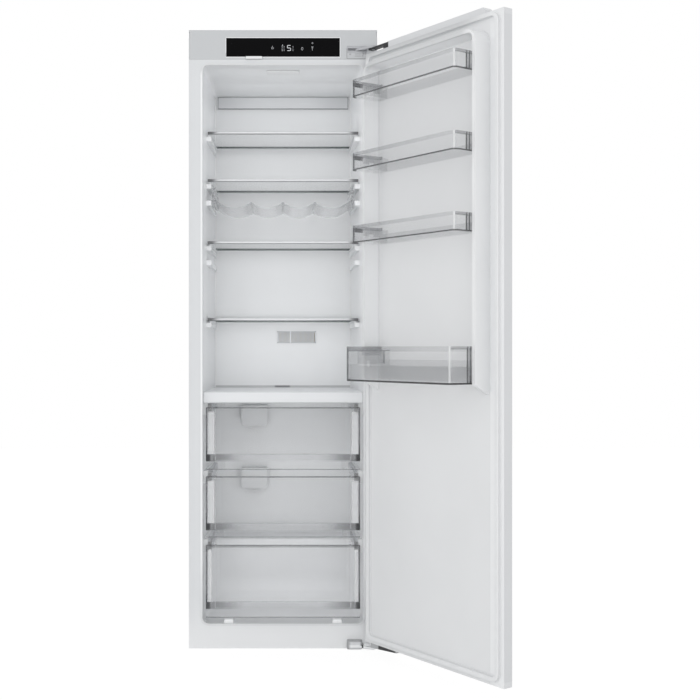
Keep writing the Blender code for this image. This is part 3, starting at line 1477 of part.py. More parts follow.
def drawer_tub(index):
    """Clear drawer: a wide front plate with a grip, a narrower tub and flanges over the sliding rails."""
    top = DRAWER_TOPS[index]
    low = top - DRAWER_HEIGHTS[index]
    front = deep(DRAWER_FRONT_DEEP)
    back = front + DRAWER_LENGTHS[index]
    half = DRAWER_TUB_WIDTH / 2
    flange_low = rail_level(index) + RAIL_HEIGHT + FIT
    flange_high = flange_low + DRAWER_FLANGE
    radii = (DRAWER_WALL, DRAWER_WALL, DRAWER_CORNER, DRAWER_CORNER)
    outline = rounded_outline((-half, front), (half, back), radii)
    tub = prism_z("tub", outline, (low, flange_high))
    reach = RAIL_LAND_WIDTH / 2 - FIT - RAIL_WIDTH - SLIDE_NECK / 2
    flange = box(
        "flange",
        (-reach, reach),
        (front + DRAWER_FRONT_THICK / 2, deep(RAIL_START) + rail_length(index)),
        (flange_low, flange_high),
    )
    joined(tub, flange)
    wall = DRAWER_WALL
    inner = rounded_outline(
        (-half + wall, front + DRAWER_FRONT_THICK),
        (half - wall, back - wall),
        (wall, wall, DRAWER_CORNER - wall, DRAWER_CORNER - wall),
    )
    cut(tub, prism_z("inside", inner, (low + wall, flange_high + OVERRUN)))
    front_half = DRAWER_FRONT_WIDTH / 2
    skirt = low - DRAWER_SKIRTS[index]
    front_outline = rounded_outline((-front_half, skirt), (front_half, top), (DRAWER_WALL,) * 4)
    plate = prism_y("plate", front_outline, (front, front + DRAWER_FRONT_THICK))
    joined(tub, plate)
    over_plate = box(
        "over plate",
        (-HALF_CABINET, HALF_CABINET),
        (front - OVERRUN, front + DRAWER_FRONT_THICK),
        (top, flange_high + OVERRUN),
    )
    cut(tub, over_plate)
    grip_half = front_half - DRAWER_CORNER
    grip = prism_x(
        "grip",
        (
            (front + DRAWER_FRONT_THICK / 2, top - DRAWER_GRIP_DROP),
            (front + DRAWER_FRONT_THICK / 2, top),
            (front - DRAWER_GRIP_REACH, top),
            (front - DRAWER_GRIP_REACH, top - DRAWER_GRIP_THICK),
            (front - DRAWER_GRIP_THICK, top - DRAWER_GRIP_THICK),
            (front, top - DRAWER_GRIP_DROP),
        ),
        (-grip_half, grip_half),
    )
    joined(tub, grip)
    rear_top = box(
        "rear top",
        (-half + DRAWER_CORNER, half - DRAWER_CORNER),
        (back - 2 * wall, back + OVERRUN),
        (top - DRAWER_REAR_DROP, flange_high + OVERRUN),
    )
    cut(tub, rear_top)
    return tub


def cowl_notch(index):
    """U-shaped cut in a drawer's rear wall that passes over the air cowl."""
    low = cowl_bottom(index) - NOTCH_CLEARANCE
    left = COWL_CENTRE_X - COWL_WIDTH / 2 - NOTCH_CLEARANCE
    right = COWL_CENTRE_X + COWL_WIDTH / 2 + NOTCH_CLEARANCE
    radius = COWL_RADIUS + NOTCH_CLEARANCE
    high = DRAWER_TOPS[index] + RAIL_HEIGHT
    outline = rounded_outline((left, low), (right, high), (radius, radius, COWL_WALL, COWL_WALL))
    back = deep(DRAWER_FRONT_DEEP + DRAWER_LENGTHS[index])
    return prism_y("notch", outline, (back - 2 * DRAWER_WALL, back + OVERRUN))


def drawer(number):
    """One drawer with its two sliding rails, carried by an empty on its slide axis."""
    index = number - 1
    tub = drawer_tub(index)
    if index < 2:
        cut(tub, cowl_notch(index))
    origin = (0, deep(DRAWER_FRONT_DEEP), rail_level(index) + RAIL_HEIGHT / 2)
    slide = pivot(f"drawer_{number}_slide", origin)
    finished(hung(tub, slide, origin), f"drawer_{number}", CLEAR, GLOSS)
    for word, side in (("left", -1), ("right", 1)):
        fixed_rail(f"rail_fixed_{word}_{number}", side, index)
        hung(sliding_rail(f"rail_slide_{word}_{number}", side, index), slide, origin)


# Door, modelled closed and carried by an empty on the hinge axis


def across(distance):
    """X of a point this far from the door's hinge edge, with the door closed."""
    return HALF_DOOR - distance


def proud(distance):
    """Y of a point this far from the sealing plane towards the cabinet, with the door closed."""
    return SEAL_Y + distance


def door_origin():
    """Place of the hinge axis at the floor."""
    return (HINGE_X, HINGE_Y, 0)


def door_ring(inset_low, inset_high, low, high, radii, distance):
    """A rounded rectangle in the door's plane, at a distance from the sealing plane."""
    outline = rounded_outline(
        (across(DOOR_WIDTH - inset_low), low), (across(inset_high), high), radii
    )
    return [(x, proud(distance), z) for x, z in outline]


def dike_solid(name, growth, start, end, outer):
    """The dike's outer block or the well inside it between two distances, grown all round."""
    rings = []
    for distance in (start, end):
        share = distance / DIKE_PROUD
        lean = DIKE_DRAFT * share
        if outer:
            inset = DIKE_INSET + lean - growth
            low = DIKE_BOTTOM + DIKE_RAMP * share - growth
            high = DIKE_TOP - lean + growth
            foot = DIKE_FOOT_RADIUS + growth
            head = DIKE_RADIUS + growth
        else:
            shift = DIKE_RIM + 2 * DIKE_DRAFT - lean
            inset = DIKE_INSET + shift - growth
            low = DIKE_BOTTOM - DIKE_RAMP
            high = DIKE_TOP - shift + growth
            foot = DIKE_FOOT_RADIUS
            head = DIKE_FLOOR_RADIUS + growth
        rings.append(door_ring(inset, inset, low, high, (foot, foot, head, head), distance))
    return loft(name, rings)


def door_liner():
    """White inner sheet with a hollow raised dike over and beside the racks, and bosses for them."""
    wall = DOOR_LINER_WALL
    sheet = box(
        "sheet", (across(DOOR_WIDTH), across(0)), (proud(-wall), proud(0)), (DOOR_BOTTOM, DOOR_TOP)
    )
    dike = dike_solid("dike", 0, -wall / 2, DIKE_PROUD, True)
    cut(dike, dike_solid("well", 0, 0, DIKE_PROUD + OVERRUN, False))
    joined(sheet, dike)
    hollow = dike_solid("hollow", -wall, -wall - OVERRUN, DIKE_PROUD - wall, True)
    cut(hollow, dike_solid("core", wall, -wall - 2 * OVERRUN, DIKE_PROUD, False))
    cut(sheet, hollow)
    bosses = []
    for bottom, height in zip(RACK_BOTTOMS, RACK_HEIGHTS):
        seat = bottom + height * RACK_SEAT_SHARE - FIT
        wall_place = DIKE_INSET + DIKE_RIM + DIKE_DRAFT
        for edge in range(2):
            span = (wall_place, wall_place + BOSS_REACH)
            if edge:
                span = tuple(DOOR_WIDTH - value for value in span)
            bosses.append(
                box(
                    "boss",
                    sorted((across(span[0]), across(span[1]))),
                    (proud(BOSS_PROUD), proud(BOSS_PROUD + BOSS_WIDTH)),
                    (seat - BOSS_HEIGHT, seat),
                )
            )
    joined(sheet, grouped("bosses", bosses))
    return finished(sheet, "door_liner", WHITE, SATIN)


def door_insulation():
    """Foam core of the door with the ridge that fills the dike."""
    wall = DOOR_LINER_WALL + FIT
    low = DOOR_BOTTOM + CAP_HEIGHT + FIT
    high = DOOR_TOP - CAP_HEIGHT - FIT
    side = SHEET + FIT
    core = box(
        "core",
        (across(DOOR_WIDTH - side), across(side)),
        (proud(-DOOR_THICK + SHEET + FIT), proud(-wall)),
        (low, high),
    )
    ridge = dike_solid("ridge", -wall, -wall - SHEET, DIKE_PROUD - wall, True)
    cut(ridge, dike_solid("valley", wall, -wall - OVERRUN, DIKE_PROUD, False))
    joined(core, ridge)
    return finished(core, "door_insulation", FOAM, MATT)


def door_skin():
    """Folded steel pan: the outer face and two edge returns."""
    low = DOOR_BOTTOM + CAP_HEIGHT + FIT / 2
    high = DOOR_TOP - CAP_HEIGHT - FIT / 2
    left, right = across(DOOR_WIDTH), across(0)
    back, front = proud(-DOOR_THICK), proud(-DOOR_LINER_WALL - FIT)
    outline = (
        (left, back), (right, back), (right, front), (right - SHEET, front), (right - SHEET, back + SHEET),
        (left + SHEET, back + SHEET), (left + SHEET, front), (left, front),
    )
    skin = prism_z("skin", outline, (low, high))
    return finished(skin, "door_skin", WHITE, SATIN)


def door_cap_top():
    """Top end cap, notched at both ends so that the door can be hung on either side."""
    depth = (proud(-DOOR_THICK), proud(-DOOR_LINER_WALL - FIT))
    cap = box("cap", (across(DOOR_WIDTH), across(0)), depth, (DOOR_TOP - CAP_HEIGHT, DOOR_TOP))
    slope = CAP_RISE / 2
    outline = (
        (across(DOOR_WIDTH - CAP_NOTCH_FREE), DOOR_TOP - CAP_HEIGHT / 2),
        (across(CAP_NOTCH_HINGE), DOOR_TOP - CAP_HEIGHT / 2),
        (across(CAP_NOTCH_HINGE), DOOR_TOP + CAP_RISE),
        (across(DOOR_WIDTH - CAP_NOTCH_FREE - slope), DOOR_TOP + CAP_RISE),
        (across(DOOR_WIDTH - CAP_NOTCH_FREE), DOOR_TOP + CAP_RISE - slope),
    )
    rise = prism_y("rise", outline, depth)
    joined(cap, rise)
    return finished(cap, "door_cap_top", WHITE, SATIN)


def door_cap_bottom():
    """Bottom end cap."""
    depth = (proud(-DOOR_THICK), proud(-DOOR_LINER_WALL - FIT))
    cap = box("cap", (across(DOOR_WIDTH), across(0)), depth, (DOOR_BOTTOM, DOOR_BOTTOM + CAP_HEIGHT))
    return finished(cap, "door_cap_bottom", WHITE, SATIN)


def door_gasket():
    """Magnetic gasket: a waisted bellows section carried round the door."""
    low = DOOR_BOTTOM + GASKET_INSET
    high = DOOR_TOP - GASKET_TOP_INSET
    width, height = GASKET_WIDTH, GASKET_PROUD
    waist = GASKET_WAIST
    foot = height * GASKET_FOOT_SHARE
    middle = height * GASKET_WAIST_SHARE
    shoulder = height * GASKET_SHOULDER_SHARE
    section = (
        (0, FIT), (0, foot), (waist, middle), (waist / 2, shoulder), (waist, height),
        (width - waist, height), (width - waist / 2, shoulder), (width - waist, middle),
        (width, foot), (width, FIT),
    )
    rings = []
    for inward, distance in section:
        inset = GASKET_INSET + inward
        radius = max(GASKET_RADIUS + GASKET_CREST + width - inward, GASKET_RADIUS)
        top = high - inward * GASKET_TOP_SHARE
        rings.append(door_ring(inset, inset, low + inward, top, (radius,) * 4, distance))
    gasket = loft("gasket", rings, closed=True)
    return finished(gasket, "door_gasket", STEEL, MATT)


def rack_span(index):
    """Where a rack's ends lie across the door."""
    edge = DIKE_INSET + DIKE_RIM + 2 * DIKE_DRAFT + RACK_SIDE_GAPS[index]
    return edge, DOOR_WIDTH - edge


def rack_slots(index):
    """Upright slots in a rack's ends, open below, that drop over the liner's bosses."""
    low = RACK_BOTTOMS[index]
    seat = low + RACK_HEIGHTS[index] * RACK_SEAT_SHARE
    reach = DIKE_INSET + DIKE_RIM + DIKE_DRAFT + BOSS_REACH + FIT
    slots = []
    for span in ((0, reach), (DOOR_WIDTH - reach, DOOR_WIDTH)):
        slots.append(
            box(
                "slot",
                sorted((across(span[0]), across(span[1]))),
                (proud(BOSS_PROUD) - FIT, proud(BOSS_PROUD + BOSS_WIDTH) + FIT),
                (low - OVERRUN, seat),
            )
        )
    return grouped("slots", slots)


def door_rack(number):
    """Clear tub with a thick rim, a low back, slotted ends and a small cell at the hinge end."""
    index = number - 1
    low = RACK_BOTTOMS[index]
    high = low + RACK_HEIGHTS[index]
    start, end = rack_span(index)
    back, front = proud(RACK_BACK_GAP), proud(RACK_REACHES[index])
    left, right = across(end), across(start)
    wall = RACK_WALL
    corner = RACK_CORNER
    outline = rounded_outline((left, back), (right, front), (wall, wall, corner, corner))
    tub = prism_z("rack", outline, (low, high))
    rim = box(
        "rim",
        (left + corner, right - corner),
        (front - wall, front + RACK_RIM),
        (high - RACK_RIM_HEIGHT, high),
    )
    joined(tub, rim)
    radii = (wall / 2, wall / 2, corner - wall, corner - wall)
    inner = rounded_outline((left + wall, back + wall), (right - wall, front - wall), radii)
    cut(tub, prism_z("inside", inner, (low + wall, high - RACK_RIM_HEIGHT)))
    thick = wall + RACK_RIM
    mouth = rounded_outline((left + thick, back + wall), (right - thick, front - wall), radii)
    cut(tub, prism_z("mouth", mouth, (low + 2 * wall, high + OVERRUN)))
    low_back = box(
        "low back",
        (left + corner, right - corner),
        (back - OVERRUN, back + 2 * wall),
        (low + RACK_HEIGHTS[index] * RACK_BACK_SHARE, high + OVERRUN),
    )
    cut(tub, low_back)
    if number < len(RACK_BOTTOMS):
        cell = right - RACK_CELL_LENGTH
        partition = box(
            "partition",
            (cell - wall, cell),
            (back + wall / 2, front - wall / 2),
            (low + wall / 2, low + RACK_HEIGHTS[index] * RACK_CELL_SHARE),
        )
        joined(tub, partition)
    cut(tub, rack_slots(index))
    return finished(tub, f"door_rack_{number}", CLEAR, GLOSS)


def rack_insert():
    """Grey tray inside the bottle rack: half height, stepping up to full height at the hinge end."""
    index = len(RACK_BOTTOMS) - 1
    start, end = rack_span(index)
    left = across(end) + RACK_WALL + INSERT_END_GAP
    right = across(start) - RACK_WALL - INSERT_END_GAP
    low = RACK_BOTTOMS[index] + RACK_WALL + FIT
    step = right - INSERT_TALL_LENGTH
    tall = low + INSERT_TALL
    short = low + INSERT_SHORT
    back = proud(RACK_BACK_GAP) + RACK_WALL + FIT
    front = proud(RACK_REACHES[index]) - RACK_WALL - INSERT_FRONT_GAP
    sheet = INSERT_SHEET
    outer = ((left, low), (right, low), (right, tall), (step, tall), (step, short), (left, short))
    tray = prism_y("tray", outer, (back, front))
    over = OVERRUN
    inner = (
        (left + sheet, low + sheet), (right - sheet, low + sheet), (right - sheet, tall + over),
        (step + sheet, tall + over), (step + sheet, short + over), (left + sheet, short + over),
    )
    cut(tray, prism_y("inside", inner, (back + sheet, front - sheet)))
    return finished(tray, "rack_insert_4", GREY, SATIN)


def leaf_outline(length):
    """Plan of a hinge leaf on the door, from near the hinge edge to its far end."""
    return rounded_outline(
        (across(length), proud(-LEAF_BACK)), (across(SHEET), proud(-LEAF_FRONT)), (SHEET,) * 4
    )


def bored(leaf, low, high):
    """The leaf with its knuckle bored for the pin."""
    bore = circle((HINGE_X, HINGE_Y), PIN_RADIUS + FIT)
    return cut(leaf, prism_z("bore", bore, (low - OVERRUN, high + OVERRUN)))


def top_levels():
    """Heights of the top leaf's foot on the cap and of its upper face under the arm."""
    return DOOR_TOP + FIT, DOOR_TOP + FIT + KNUCKLE_TOP_HEIGHT


def bottom_levels():
    """Heights of the bottom knuckle's underside and of the leaf's top."""
    return DOOR_BOTTOM - FIT - KNUCKLE_BOTTOM_HEIGHT, DOOR_BOTTOM - FIT


def hinge_arm_top():
    """Strap over the cap's notch, with the knuckle at one end and the fixing block at the other."""
    low, high = top_levels()
    strap_low = high - LEAF_THICK
    leaf = prism_z("leaf", leaf_outline(LEAF_LENGTH_TOP), (strap_low, high))
    block = box(
        "block",
        (across(LEAF_LENGTH_TOP), across(LEAF_LENGTH_TOP - LEAF_BLOCK_LENGTH)),
        (proud(-LEAF_BACK), proud(-LEAF_FRONT)),
        (low, high - LEAF_THICK / 2),
    )
    joined(leaf, block)
    joined(leaf, prism_z("knuckle", circle((HINGE_X, HINGE_Y), KNUCKLE_RADIUS), (strap_low, high)))
    bored(leaf, strap_low, high)
    return finished(leaf, "hinge_arm_top", BLACK_PAINT, PAINTED, True)


def hinge_arm_bottom():
    """Wedge-shaped leaf under the bottom cap, thick at the knuckle and thin at its tip."""
    low, high = bottom_levels()
    middle = (proud(-LEAF_BACK), proud(-LEAF_FRONT))
    outline = (
        (across(LEAF_LENGTH_BOTTOM), high),
        (across(LEAF_LENGTH_BOTTOM), high - LEAF_WEDGE_TIP),
        (HINGE_X - KNUCKLE_RADIUS, low),
        (HINGE_X, low),
        (HINGE_X, high),
    )
    leaf = prism_y("leaf", outline, middle)
    joined(leaf, prism_z("knuckle", circle((HINGE_X, HINGE_Y), KNUCKLE_RADIUS), (low, high)))
    bored(leaf, low, high)
    return finished(leaf, "hinge_arm_bottom", BLACK_PAINT, PAINTED, True)


def swing_arm(name, root, levels):
    """Flat cabinet-side arm from a root point to an eye round the pin."""
    root = Vector(root)
    eye = Vector((HINGE_X, HINGE_Y))
    along = (eye - root).normalized()
    side = Vector((-along.y, along.x)) * ARM_HALF_WIDTH
    start = math.atan2(side.y, side.x)
    outline = [tuple(root + side)]
    for step in range(2 * ARC_STEPS + 1):
        turn = start - math.pi * step / (2 * ARC_STEPS)
        outline.append((eye.x + ARM_HALF_WIDTH * math.cos(turn), eye.y + ARM_HALF_WIDTH * math.sin(turn)))
    outline.append(tuple(root - side))
    return prism_z(name, outline, levels)


def hinge_bracket_top():
    """Plate in the fascia's pocket with a groove, the arm and the pin that holds the door's top."""
    arm_low = top_levels()[1] + FIT
    arm_high = arm_low + ARM_TOP_THICK
    plate = box(
        "plate",
        (BRACKET_LEFT, BRACKET_RIGHT),
        (deep(0), deep(FASCIA_DEPTH / 2 - FIT)),
        (BRACKET_BOTTOM_Z, BRACKET_TOP_Z),
    )
    groove = box(
        "groove",
        (BRACKET_LEFT + ARM_ROOT, BRACKET_RIGHT + OVERRUN),
        (deep(-OVERRUN), deep(GROOVE_DEPTH)),
        (arm_low - GROOVE_MARGIN, arm_high + GROOVE_MARGIN),
    )
    cut(plate, groove)
    root = (BRACKET_RIGHT - TOP_ARM_INSET, deep(GROOVE_DEPTH))
    joined(plate, swing_arm("arm", root, (arm_low, arm_high)))
    pin_low = arm_low - FIT - LEAF_THICK
    pin = prism_z("pin", circle((HINGE_X, HINGE_Y), PIN_RADIUS), (pin_low, arm_low + ARM_TOP_THICK / 2))
    joined(plate, pin)
    return finished(plate, "hinge_bracket_top", STEEL, METAL, True)


def hinge_bracket_bottom():
    """Rounded housing on the front frame with the arm and the pin that carries the door."""
    arm_high = bottom_levels()[0] - FIT
    arm_low = arm_high - ARM_BOTTOM_THICK
    outline = rounded_outline(
        (HOUSING_LEFT, deep(-HOUSING_PROUD)),
        (HOUSING_RIGHT, deep(-FIT)),
        (HOUSING_RADIUS, HOUSING_RADIUS, FIT, FIT),
    )
    housing = prism_z("housing", outline, (HOUSING_BOTTOM, HOUSING_TOP))
    root = (HOUSING_RIGHT - HOUSING_ROOT, deep(-BOTTOM_ARM_PROUD))
    joined(housing, swing_arm("arm", root, (arm_low, arm_high)))
    pin_high = bottom_levels()[1] - SHEET
    pin = prism_z("pin", circle((HINGE_X, HINGE_Y), PIN_RADIUS), (arm_high - ARM_BOTTOM_THICK / 2, pin_high))
    joined(housing, pin)
    return finished(housing, "hinge_bracket_bottom", SILVER, METAL, True)


def hinge_cover():
    """White cover over the root of the lower hinge arm, cut away where the arm passes through."""
    cover = box(
        "cover",
        (HINGE_COVER_LEFT, HINGE_COVER_RIGHT),
        (deep(-HINGE_COVER_PROUD), deep(-FIT)),
        (HOUSING_BOTTOM, HINGE_COVER_TOP),
    )
    arm_high = bottom_levels()[0] - FIT
    root = Vector((HOUSING_RIGHT - HOUSING_ROOT, deep(-BOTTOM_ARM_PROUD)))
    eye = Vector((HINGE_X, HINGE_Y))
    away = (eye - root).normalized()
    side = Vector((-away.y, away.x)) * (ARM_HALF_WIDTH + FIT)
    far = eye + away * 2 * ARM_HALF_WIDTH
    outline = [tuple(root + side), tuple(far + side), tuple(far - side), tuple(root - side)]
    channel = prism_z("channel", outline, (-OVERRUN, arm_high + FIT))
    cut(cover, channel)
    return finished(cover, "hinge_cover_bottom", WHITE, SATIN)


def door():
    """The whole door on its hinge axis, turned open; racks lift on empties of their own."""
    origin = door_origin()
    hinge = pivot("door_hinge", origin, turn=math.radians(DOOR_OPEN_DEGREES))
    makers = (
        door_skin, door_insulation, door_liner, door_cap_top, door_cap_bottom, door_gasket,
        hinge_arm_top, hinge_arm_bottom,
    )
    for make in makers:
        hung(make(), hinge, origin)
    for number in range(1, len(RACK_BOTTOMS) + 1):
        place = (0, proud(0), RACK_BOTTOMS[number - 1])
        offset = tuple(a - b for a, b in zip(place, origin))
        seat = pivot(f"door_rack_{number}_lift", offset, hinge)
        hung(door_rack(number), seat, place)
        if number == len(RACK_BOTTOMS):
            lift = pivot("rack_insert_4_lift", (0, 0, RACK_WALL), seat)
            hung(rack_insert(), lift, (place[0], place[1], place[2] + RACK_WALL))


def cabinet():
    """Every piece that stays with the cabinet."""
    outer_case()
    rear_panel()
    base_tray()
    cabinet_insulation()
    inner_liner()
    back_cover()
    control_fascia()
    control_panel()
    door_switch()
    ceiling_light()
    fan_cover()
    intake_grille()
    fan_rotor()
    fan_motor()
    evaporator()
    for number, level in enumerate(SHELF_TOPS, 1):
        shelf_frame(number, level)
        shelf_glass(number, level)
    bottle_rack()
    divider_shelf()
    compressor()
    drip_tray()
    condenser_coil()
    filter_drier()
    hinge_bracket_top()
    hinge_bracket_bottom()
    hinge_cover()


def main():
    """Build the refrigerator."""
    clear_scene()
    cabinet()
    for number in range(1, len(DRAWER_TOPS) + 1):
        drawer(number)
    door()


main()
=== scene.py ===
"""Built-in larder refrigerator with its right-hand door open: finishes, small fittings, light and camera."""

import math

import bpy
import numpy as np
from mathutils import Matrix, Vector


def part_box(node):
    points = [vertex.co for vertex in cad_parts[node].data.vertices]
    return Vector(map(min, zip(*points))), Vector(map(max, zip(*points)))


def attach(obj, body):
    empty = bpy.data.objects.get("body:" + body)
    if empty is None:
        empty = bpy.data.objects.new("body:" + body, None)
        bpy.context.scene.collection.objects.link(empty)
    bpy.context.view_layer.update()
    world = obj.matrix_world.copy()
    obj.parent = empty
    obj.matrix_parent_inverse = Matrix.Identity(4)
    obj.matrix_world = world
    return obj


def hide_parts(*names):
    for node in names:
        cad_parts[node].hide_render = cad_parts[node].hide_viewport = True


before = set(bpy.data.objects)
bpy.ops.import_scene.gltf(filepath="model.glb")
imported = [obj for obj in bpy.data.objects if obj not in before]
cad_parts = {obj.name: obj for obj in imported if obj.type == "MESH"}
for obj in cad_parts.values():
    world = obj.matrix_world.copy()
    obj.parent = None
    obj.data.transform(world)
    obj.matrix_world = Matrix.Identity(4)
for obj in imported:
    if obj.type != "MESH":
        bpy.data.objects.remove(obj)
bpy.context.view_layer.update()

scene = bpy.context.scene
scene.view_settings.view_transform = "Standard"
scene.cycles.transparent_max_bounces = 24

# Camera
# The photograph looks straight at the cabinet from half its height, from about three metres before it. The
# lens is shifted sideways, so that the open door is in the frame too.
eye = bpy.data.cameras.new("camera")
eye.lens = 57.24
eye.sensor_width = 36.0
eye.shift_x = 0.0957
eye.shift_y = -0.0029
stand = bpy.data.objects.new("camera", eye)
stand.location = (0.0, -3.4625, 0.861)
stand.rotation_euler = (math.pi / 2, 0.0, 0.0)
scene.collection.objects.link(stand)
scene.camera = stand


# Floor, backdrop and light
# A plain white floor that keeps a faint shadow, a white surround that lights from all sides, one broad soft
# lamp before the cabinet, and four weak soft lamps that stand for the light in the food room.
class Wire:
    """A socket of a node tree. Arithmetic on it adds Math nodes."""

    def __init__(self, tree, socket=None):
        self.tree = tree
        self.socket = socket

    def add(self, kind, settings=None, values=None, out=0):
        """One output of a new node of this kind, which gets its settings first and then its sockets."""
        node = self.tree.nodes.new("ShaderNode" + kind)
        for key, value in (settings or {}).items():
            setattr(node, key, value)
        for key, value in (values or {}).items():
            if isinstance(value, Wire):
                self.tree.links.new(value.socket, node.inputs[key])
            else:
                node.inputs[key].default_value = value
        return Wire(self.tree, node.outputs[out] if len(node.outputs) else None)

    def maths(self, operation, other=0.0, turned=False):
        """A Math node on this wire and another wire or number, in this order unless it is turned."""
        return self.add("Math", {"operation": operation}, {int(turned): self, 1 - turned: other})

    def __add__(self, other):
        return self.maths("ADD", other)

    __radd__ = __add__

    def __sub__(self, other):
        return self.maths("SUBTRACT", other)

    def __rsub__(self, other):
        return self.maths("SUBTRACT", other, True)

    def __mul__(self, other):
        return self.maths("MULTIPLY", other)

    __rmul__ = __mul__

    def __abs__(self):
        return self.maths("ABSOLUTE")

    def __or__(self, other):
        return self.maths("MAXIMUM", other)

    def __and__(self, other):
        return self.maths("MINIMUM", other)

    def ease(self, low, high):
        """Nought below low, one above high and a smooth step between, or the other way if high is less."""
        limits = {"From Min": min(low, high), "From Max": max(low, high)}
        if high < low:
            limits.update({"To Min": 1.0, "To Max": 0.0})
        return self.add("MapRange", {"interpolation_type": "SMOOTHSTEP"}, {"Value": self, **limits})

    def between(self, low, full, last, high):
        """Nought below low and above high, one from full to last, and a smooth step on each side."""
        return self.ease(low, full) * self.ease(high, last)

    def sine(self):
        """Its sine."""
        return self.maths("SINE")

    def axes(self):
        """The three parts of a vector."""
        return [self.add("SeparateXYZ", values={0: self}, out=axis) for axis in range(3)]

    def mix(self, first, second):
        """The first colour where this wire is nought, and the second where it is one."""
        return self.add("Mix", {"data_type": "RGBA"}, {0: self, 6: grey(first), 7: grey(second)}, 2)


def grey(colour):
    """A colour with its fourth value, from a number, three numbers or a wire."""
    if isinstance(colour, Wire):
        return colour
    if isinstance(colour, float):
        return (colour, colour, colour, 1.0)
    return (*colour, 1.0)


def blank(name):
    """An empty material, a wire to start its nodes from, and the object's own coordinates."""
    material = bpy.data.materials.new(name)
    material.use_nodes = True
    material.node_tree.nodes.clear()
    start = Wire(material.node_tree)
    return material, start, start.add("TexCoord", out="Object")


def sheet_mesh(name, points, faces, smooth=False):
    """An object at the origin from arrays of points and of quads or triangles."""
    mesh = bpy.data.meshes.new(name)
    mesh.from_pydata(np.asarray(points).tolist(), [], np.asarray(faces).tolist())
    mesh.update()
    if smooth:
        mesh.shade_smooth()
        mesh.set_sharp_from_angle(angle=math.radians(40))
    item = bpy.data.objects.new(name, mesh)
    scene.collection.objects.link(item)
    return item


floor_half = 6.0
floor_level = -0.0005
ends = np.array([[-1, -1], [1, -1], [1, 1], [-1, 1]]) * floor_half
ground = sheet_mesh("floor", np.column_stack([ends, np.full(4, floor_level)]), [[0, 1, 2, 3]])


def seen_rays(start):
    """One for the rays that see a backdrop straight, mirrored or through glass, and nought for its light."""
    camera, glossy, through = (
        start.add("LightPath", out=f"Is {kind} Ray") for kind in ("Camera", "Glossy", "Transmission")
    )
    return camera | glossy | through


paper, start, _ = blank("white_floor")
matt = start.add("BsdfDiffuse", values={"Color": grey(0.92)})
glow = start.add("Emission", values={"Color": grey(0.93), "Strength": 1.0})
shadow = start.add("BsdfDiffuse", values={"Color": grey(0.10)})
seen = start.add("AddShader", values={0: glow, 1: shadow})
mixed = start.add("MixShader", values={0: seen_rays(start), 1: matt, 2: seen})
start.add("OutputMaterial", values={"Surface": mixed})
ground.data.materials.append(paper)

world = bpy.data.worlds.new("surround")
world.use_nodes = True
world.node_tree.nodes.clear()
scene.world = world
start = Wire(world.node_tree)
surround = start.add("Background", values={"Color": grey(1.0), "Strength": 0.92 + seen_rays(start) * 0.08})
start.add("OutputWorld", values={"Surface": surround})


def soft_lamp(name, width, height, radiance, place, turn):
    """A rectangular lamp that no ray sees, of the given radiance: its power is that times pi and its area."""
    lamp = bpy.data.lights.new(name, "AREA")
    lamp.shape = "RECTANGLE"
    lamp.size = width
    lamp.size_y = height
    lamp.energy = radiance * math.pi * width * height
    stand = bpy.data.objects.new(name, lamp)
    stand.location = place
    stand.rotation_euler = [math.radians(angle) for angle in turn]
    stand.visible_camera = stand.visible_glossy = stand.visible_transmission = False
    scene.collection.objects.link(stand)


soft_lamp("studio_lamp", 3.4, 2.4, 1.1, (-0.5, -5.2, 0.7), (91.0, 0.0, -5.5))
soft_lamp("room_lamp_front", 0.46, 1.58, 0.15, (0.0, -0.300, 0.872), (90.0, 0.0, 0.0))
soft_lamp("room_lamp_middle", 0.44, 1.58, 0.25, (0.0, -0.235, 0.872), (90.0, 0.0, 0.0))
soft_lamp("room_lamp_back", 0.43, 1.58, 0.20, (0.0, -0.060, 0.872), (90.0, 0.0, 0.0))
soft_lamp("room_lamp_top", 0.42, 0.24, 0.22, (0.0, -0.090, 1.530), (180.0, 0.0, 0.0))


# Cabinet shell
# The wrapper and the door's skin are folded steel with a smooth baked white paint; the back sheet and the
# base are zinc-coated steel with a faint spangle, and the room between them is filled with cream foam.
def finish_node(material, *names):
    """Give a CAD node's every material slot this finish."""
    for name in names:
        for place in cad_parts[name].material_slots:
            place.material = material


def surface(start, colour, roughness, height=None, depth=0.00002, **constants):
    """A Principled surface as the material's output; a height wire makes its bump, that deep in metres."""
    values = {"Base Color": grey(colour), "Roughness": roughness, **constants}
    if height is not None:
        values["Normal"] = start.add("Bump", values={"Height": height, "Strength": 1.0, "Distance": depth})
    start.add("OutputMaterial", values={"Surface": start.add("BsdfPrincipled", values=values)})


def noise(start, place, scale, detail=2.0):
    """Cloudy noise from nought to one, with this many features to a metre."""
    return start.add("TexNoise", values={"Vector": place, "Scale": scale, "Detail": detail})


def spread(place, factors):
    """The place stretched by a factor along each axis."""
    return place.add("VectorMath", {"operation": "MULTIPLY"}, {0: place, 1: factors})


def painted(name, colour, roughness=0.38, peel=420.0, depth=0.00002):
    """Paint or moulded plastic: a faint drift in tone, an uneven gloss and a fine orange-peel surface."""
    material, start, place = blank(name)
    drift = 0.024
    darker = tuple(value * (1 - drift) for value in colour)
    tone = noise(start, place, 3.0, 3.0).ease(0.3, 0.7).mix(darker, colour)
    gloss = roughness - 0.04 + 0.08 * noise(start, place, 40.0)
    surface(start, tone, gloss, noise(start, place, peel), depth)
    return material


